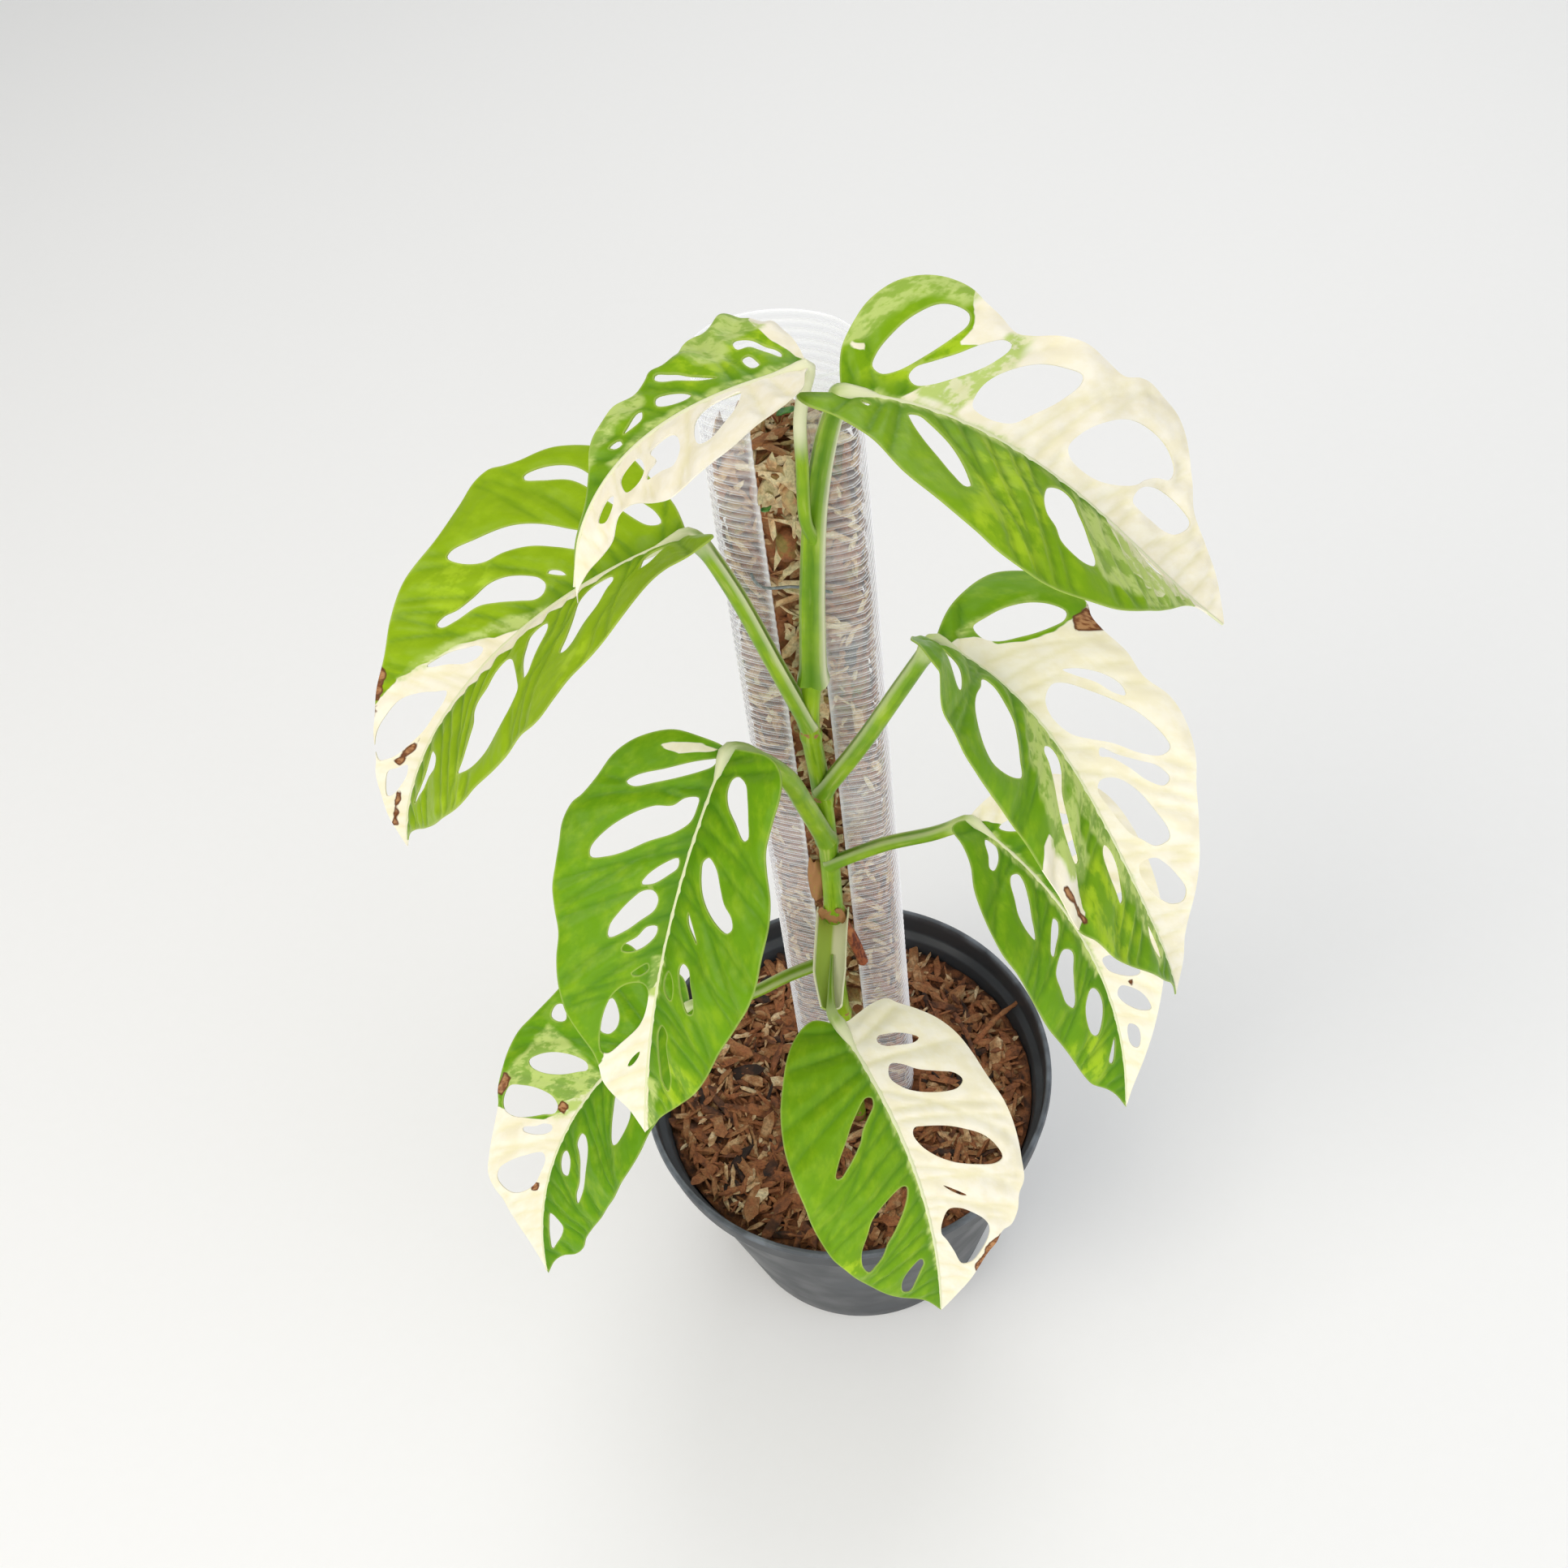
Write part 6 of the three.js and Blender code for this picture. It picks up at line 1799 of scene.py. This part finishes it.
STEM_PATH = [(4, -9, 62), (4, -10, 107), (3, -10, 140), (3, -10, 176), (2.5, -10, 213), (5, -10, 253),
             (6, -10, 290), (6, -10, 330), (5, -10, 362), (8.5, -10.5, 390)]
STEM_CLEARANCE = 6.5  # loose chips start at least this far from the stem's second place, at the mix
NODE_HEIGHTS = [135, 185, 222, 298, 322, 356]
SCAR_HEIGHT = 255.5
ROOT_PATH = [(6, -10, 252), (9.5, -10.4, 244), (12.2, -10.6, 234), (14.3, -10.8, 223)]
ROOT_RADIUS = 2.1
TIE_PATH = [(-8.6, -4.6, 425.2), (-8.2, -4.3, 422.6), (-6.2, -4.8, 420.2), (-3.2, -5.3, 419.9),
            (4, -5.4, 420.6), (11.2, -5.3, 419.4), (16, -4.6, 417.4)]
TIE_RADIUS = 0.5
# Papery scraps of old sheaths: middle, width, height and how far each leans aside.
SCRAPS = [
    ((-0.5, -8.5, 274), 10, 24, 0.3),
    ((1.5, -11, 256), 9, 8, 0.9),
    ((7.5, -12.2, 257), 8, 9, -0.7),
]


def stem_shape(plant):
    """A tube that thins upwards and swells at each node, where a thin dry ring marks the old sheath."""
    path = through(STEM_PATH, 1.1)
    share = np.linspace(0, 1, len(path))
    radius = to_mm(plant.radius) + (to_mm(plant.tip_radius) - to_mm(plant.radius)) * share
    height = path[:, 2]
    dry = np.zeros(len(path))
    for node in NODE_HEIGHTS:
        radius += 0.55 * bell(height, node, 2.2) - 0.35 * bell(height, node + 2.9, 0.7)
        dry = np.maximum(dry, 0.75 * bell(height, node + 2.6, 0.9))
    frill = 0.3 * np.sin(height * 2.2) * bell(height, SCAR_HEIGHT, 3.2)
    radius += 1.0 * bell(height, SCAR_HEIGHT, 2.0) + frill
    dry = np.maximum(dry, 0.95 * bell(height, SCAR_HEIGHT, 3.4))
    dry = np.maximum(dry, 0.8 * smoothstep(height, 118, 104))
    rings = 4
    path, radius = round_ends(path, radius, rings)
    dry = np.concatenate([np.full(rings, dry[0]), dry, np.full(rings, 0.5)])
    sides = 32
    turns = turns_of(sides)
    ribs = 1 + 0.035 * np.cos(3 * turns + 1) + 0.012 * np.cos(9 * turns)
    section = circle(turns) * ribs[:, None]
    points, faces = tube(path, radius, sides, (0, 1, 0), section)
    steps = steps_along(path)
    uneven = 0.25 * np.cos(turns * 2 + 0.7)
    marks = {
        "pale": 0.0,
        "deep": 0.0,
        "dry": with_ends(dry[:, None] * (1 + uneven)),
        "u": with_ends(np.tile(turns * 4, len(path))) * MM,
        "v": with_ends(np.repeat(steps, sides), 0.0, steps[-1]) * MM,
    }
    return points, faces, marks


def husk_shapes():
    """The scraps: small curled sheets that taper to both ends and stand off the stem."""
    shapes = []
    for number, (centre, width, height, lean) in enumerate(SCRAPS):
        up, across = np.meshgrid(np.linspace(-0.5, 0.5, 16), np.linspace(-0.5, 0.5, 12), indexing="ij")
        taper = 1 - 1.5 * np.abs(up) ** 2.2
        x = across * width * taper * 0.55 + lean * up * 3
        y = -1.6 * np.cos(across * 2.6) + 0.5 * bumps(np.stack([across * 8, up * 9], -1), 5, 40 + number)
        grid = np.stack([x, y, up * height + 0.6 * np.sin(across * 9)], -1) + centre
        marks = {
            "pale": 0.0,
            "deep": 0.0,
            "dry": 1.0,
            "u": np.tile((across * width).ravel(), 2) * MM,
            "v": np.tile((up * height).ravel(), 2) * MM,
        }
        shapes.append((*thick_sheet(grid, 0.3), marks))
    return shapes


def root_shape():
    """A short tube whose skin is ringed and cracked, cut off with a hollow at its lower end."""
    path = through(ROOT_PATH, 0.5)
    steps = np.arange(len(path))
    radius = ROOT_RADIUS * (1.12 - 0.18 * steps / len(path) + 0.05 * np.sin(steps * 1.9))
    inner_path = path[-1] - (path[-1] - path[-6]) * np.linspace(0.02, 1, 5)[:, None]
    full = np.concatenate([path, inner_path])
    along = unit(np.gradient(path, axis=0))
    along = np.concatenate([along, np.repeat(along[-1:], 5, 0)])
    radius = np.concatenate([radius, ROOT_RADIUS * np.array([0.62, 0.58, 0.5, 0.4, 0.2])])
    across = unit(np.cross(along, (0, 1.0, 0)))
    up = np.cross(along, across)
    sides = 22
    turns = turns_of(sides)
    ragged = 1 + 0.05 * np.cos(5 * turns) + 0.03 * np.cos(11 * turns + steps[-1])
    ring = across[:, None] * np.cos(turns)[:, None] + up[:, None] * np.sin(turns)[:, None]
    rings = full[:, None] + ring * (radius[:, None, None] * ragged[None, :, None])
    first, last = (np.tile(full[end], (1, sides, 1)) for end in (0, -1))
    rows = np.concatenate([first, rings, last])
    hollow = np.repeat(np.concatenate([np.zeros(len(path) + 1), np.ones(6)]), sides)
    return rows.reshape(-1, 3), [grid_faces(len(rows), sides, wrap=True)], {"hollow": hollow}


def tie_shape():
    """Thin wire across the slot, hooked up at its left end and run on over the flap to the right."""
    path = through(TIE_PATH, 0.5)
    path, radii = round_ends(path, np.full(len(path), TIE_RADIUS))
    return (*tube(path, radii, 14, (0, 0, 1)), {})


# Camera and stage

CAMERA_PLACE = (78.5, -412.2, 805.2)
CAMERA_TURN, CAMERA_RISE, CAMERA_ROLL = (math.radians(angle) for angle in (12, 49.13, -8.41))
FOCAL_SHARE = 2200 / 1932  # focal length as a share of the frame's width
SENSOR = 36  # millimetres


def make_camera():
    """A camera that looks back along its turn and rise, rolled about the way it looks."""
    flat = math.cos(CAMERA_RISE)
    back = Vector((math.sin(CAMERA_TURN) * flat, -math.cos(CAMERA_TURN) * flat, math.sin(CAMERA_RISE)))
    right = Vector((0, 0, 1)).cross(back).normalized()
    up = back.cross(right)
    cosine, sine = math.cos(CAMERA_ROLL), math.sin(CAMERA_ROLL)
    rolled_right = right * cosine + up * sine
    rolled_up = up * cosine - right * sine
    camera = bpy.data.objects.new("camera", bpy.data.cameras.new("camera"))
    camera.data.sensor_width = SENSOR
    camera.data.lens = SENSOR * FOCAL_SHARE
    camera.data.clip_start, camera.data.clip_end = 0.01, 20
    turn = Matrix((rolled_right, rolled_up, back)).transposed().to_4x4()
    camera.matrix_world = Matrix.Translation(Vector(CAMERA_PLACE) * MM) @ turn
    bpy.context.scene.collection.objects.link(camera)
    bpy.context.scene.camera = camera


# Soft studio lights: name, place in metres, size, power in watts and colour.
LIGHTS = [
    ("key", (-1.0, -1.1, 1.9), 1.3, 23, "#fff9f0"),
    ("fill", (1.5, -0.7, 1.2), 1.6, 9, "#f4f7ff"),
    ("front", (0.3, -2.0, 0.7), 1.4, 12, "#ffffff"),
    ("back", (0.2, 1.5, 1.6), 1.2, 10, "#ffffff"),
]


PLANT_MIDDLE = Vector((0, 0, 0.27))  # metres


def make_light(name, place, size, power, hex_colour, strength):
    """A square soft light that shines on the middle of the plant."""
    light = bpy.data.objects.new(name, bpy.data.lights.new(name, "AREA"))
    light.data.size = size
    light.data.energy = power * strength
    light.data.color = linear(hex_colour)[:3]
    light.location = place
    aim = PLANT_MIDDLE - Vector(place)
    light.rotation_mode = "QUATERNION"
    light.rotation_quaternion = aim.to_track_quat("-Z", "Y")
    bpy.context.scene.collection.objects.link(light)


def backdrop_shape():
    """A wide round floor, flat out to a distance and then curving up like a bowl all round: from there on
    its height is 6 m * (1 - cos(turn)), where the turn grows evenly with the radius."""
    flat, whole, last_turn = 3000, 6000, 1.2
    radius = np.concatenate([[1], np.linspace(200, flat, 8), np.linspace(flat + 200, whole, 16)])
    turn = (radius - flat) / (whole - flat) * last_turn
    rise = np.where(radius > flat, whole * (1 - np.cos(turn)), 0)
    points, faces = turned(np.column_stack([radius, rise]), 96)
    return points, faces[0][:, ::-1]


# Operators


class MONSTERA_OT_stage(bpy.types.Operator):
    """Sets the camera, the soft lights and the pale floor"""

    bl_idname = "monstera.stage"
    bl_label = "Stage"

    def execute(self, context):
        scene = context.scene
        stage = scene.monstera_stage
        make_camera()
        for light in LIGHTS:
            make_light(*light, stage.light)
        points, faces = backdrop_shape()
        mesh = bpy.data.meshes.new("backdrop")
        mesh.from_pydata((points * MM).tolist(), [], faces.tolist())
        mesh.polygons.foreach_set("use_smooth", np.full(len(mesh.polygons), True))
        mesh.materials.append(studio_paper(stage))
        backdrop = bpy.data.objects.new("backdrop", mesh)
        scene.collection.objects.link(backdrop)
        scene.world = bpy.data.worlds.new("soft room")
        scene.world.use_nodes = True
        air = scene.world.node_tree.nodes["Background"]
        air.inputs["Color"].default_value = linear("#f4f6fa")
        air.inputs["Strength"].default_value = 0.45 * stage.light
        scene.view_settings.view_transform = "Standard"
        return {"FINISHED"}


class MONSTERA_OT_pot(bpy.types.Operator):
    """Makes the nursery pot with its lip, band and drain holes"""

    bl_idname = "monstera.pot"
    bl_label = "Pot"

    def execute(self, context):
        pot = context.scene.monstera_pot
        piece = make_piece(
            "pot_fine", pot_shape(pot), [pot_plastic(pot)], replaces=["pot"], sharp=40
        )
        weld(piece, 0.02)
        return {"FINISHED"}


class MONSTERA_OT_potting_mix(bpy.types.Operator):
    """Fills the pot with damp bark and strews loose chips and twigs on it"""

    bl_idname = "monstera.potting_mix"
    bl_label = "Potting mix"

    def execute(self, context):
        scene = context.scene
        finish = bark("Chopped pine bark and husk", scene.monstera_mix)
        mix, pot = scene.monstera_mix, scene.monstera_pot
        shape = mix_bed_shape(mix, pot)
        weld(make_piece("potting_mix_fine", shape, [finish], replaces=["potting_mix"]), 0.02)
        loose = merged([mix_chips_shape(mix, pot), *twig_shapes()])
        make_piece("bark_chips", loose, [finish], sharp=35)
        return {"FINISHED"}


class MONSTERA_OT_pole(bpy.types.Operator):
    """Makes the clear ribbed sleeve and the bark packed in it"""

    bl_idname = "monstera.pole"
    bl_label = "Pole"

    def execute(self, context):
        scene = context.scene
        pole = scene.monstera_pole
        sheet = clear_sheet(pole)
        sleeve = sleeve_shape(pole)
        make_piece("pole_sleeve_fine", sleeve, [sheet], replaces=["pole_sleeve"])
        finish = bark("Packed bark, husk and moss", scene.monstera_mix, 0.8)
        weld(make_piece("pole_fill_fine", core_shape(), [finish], replaces=["pole_fill"]), 0.02)
        make_piece("pole_chips", pole_chips_shape(pole), [finish], sharp=35)
        return {"FINISHED"}


class MONSTERA_OT_seedling(bpy.types.Operator):
    """Adds the small seedlings that came up in the pole's fill"""

    bl_idname = "monstera.seedling"
    bl_label = "Seedlings"

    def execute(self, context):
        leaflets, stems = seedling_shapes()
        young = mottled_skin(
            "Seedling leaf", 1.5, "#2f6a2a", "#5c9440", rough=0.5, distance=0.08, strength=0.4
        )
        thread = mottled_skin("Reddish seedling stem", 2, "#7a3b26", "#9a6a3a", rough=0.55)
        shape = merged([*leaflets, *stems])
        green = sum(len(group) for part in leaflets for group in part[1])
        rest = sum(len(group) for part in stems for group in part[1])
        kinds = np.repeat([0, 1], [green, rest])
        weld(make_piece("seedlings", shape, [young, thread], kinds=kinds), 0.02)
        return {"FINISHED"}


class MONSTERA_OT_stem(bpy.types.Operator):
    """Makes the climbing stem with its rings, and the papery scraps on it"""

    bl_idname = "monstera.stem"
    bl_label = "Stem"

    def execute(self, context):
        shape = merged([stem_shape(context.scene.monstera_stem), *husk_shapes()])
        finish = green_skin("Green stem skin", context.scene)
        make_piece("stem_fine", shape, [finish], replaces=["stem"])
        return {"FINISHED"}


class MONSTERA_OT_root(bpy.types.Operator):
    """Makes the cut aerial root"""

    bl_idname = "monstera.root"
    bl_label = "Aerial root"

    def execute(self, context):
        finish = corky_root(context.scene.monstera_stem)
        shape = root_shape()
        weld(make_piece("aerial_root_fine", shape, [finish], replaces=["aerial_root"]), 0.02)
        return {"FINISHED"}


class MONSTERA_OT_tie(bpy.types.Operator):
    """Makes the coated wire that holds the plant to the pole"""

    bl_idname = "monstera.tie"
    bl_label = "Tie"

    def execute(self, context):
        make_piece("tie_fine", tie_shape(), [coated_wire()], replaces=["tie"])
        return {"FINISHED"}


class MONSTERA_OT_leaves(bpy.types.Operator):
    """Makes the eight leaves, each with its stalk, midrib, holes and cream part"""

    bl_idname = "monstera.leaves"
    bl_label = "Leaves"

    def execute(self, context):
        scene = context.scene
        leaf = scene.monstera_leaf
        finishes = [
            blade_skin("Waxy upper leaf skin", leaf, upper=True),
            blade_skin("Matt under leaf skin", leaf, upper=False),
            green_skin("Green leaf stalk skin", scene),
        ]
        for number, (name, plan) in enumerate(LEAVES.items()):
            make_leaf(name, plan, leaf, finishes, seed=60 + 10 * number)
        return {"FINISHED"}


class MONSTERA_PT_panel(bpy.types.Panel):
    """Sizes, colours and pieces of the plant"""

    bl_idname = "MONSTERA_PT_panel"
    bl_label = "Monstera"
    bl_space_type = "VIEW_3D"
    bl_region_type = "UI"
    bl_category = "Monstera"

    def draw(self, context):
        for operator in OPERATORS:
            self.layout.operator(operator.bl_idname)
        for name, settings in SETTINGS.items():
            box = self.layout.box()
            box.label(text=settings.__name__.replace("Settings", ""))
            for field in settings.__annotations__:
                box.prop(getattr(context.scene, name), field)


OPERATORS = [
    MONSTERA_OT_stage,
    MONSTERA_OT_pot,
    MONSTERA_OT_potting_mix,
    MONSTERA_OT_pole,
    MONSTERA_OT_seedling,
    MONSTERA_OT_stem,
    MONSTERA_OT_root,
    MONSTERA_OT_tie,
    MONSTERA_OT_leaves,
]


def register():
    for made in (*SETTINGS.values(), *OPERATORS, MONSTERA_PT_panel):
        bpy.utils.register_class(made)
    for name, settings in SETTINGS.items():
        setattr(bpy.types.Scene, name, PointerProperty(type=settings))


def unregister():
    for name in SETTINGS:
        delattr(bpy.types.Scene, name)
    for made in (MONSTERA_PT_panel, *reversed(OPERATORS), *reversed(SETTINGS.values())):
        bpy.utils.unregister_class(made)


def main():
    register()
    for operator in OPERATORS:
        group, name = operator.bl_idname.split(".")
        getattr(getattr(bpy.ops, group), name)()


if __name__ == "__main__":
    main()
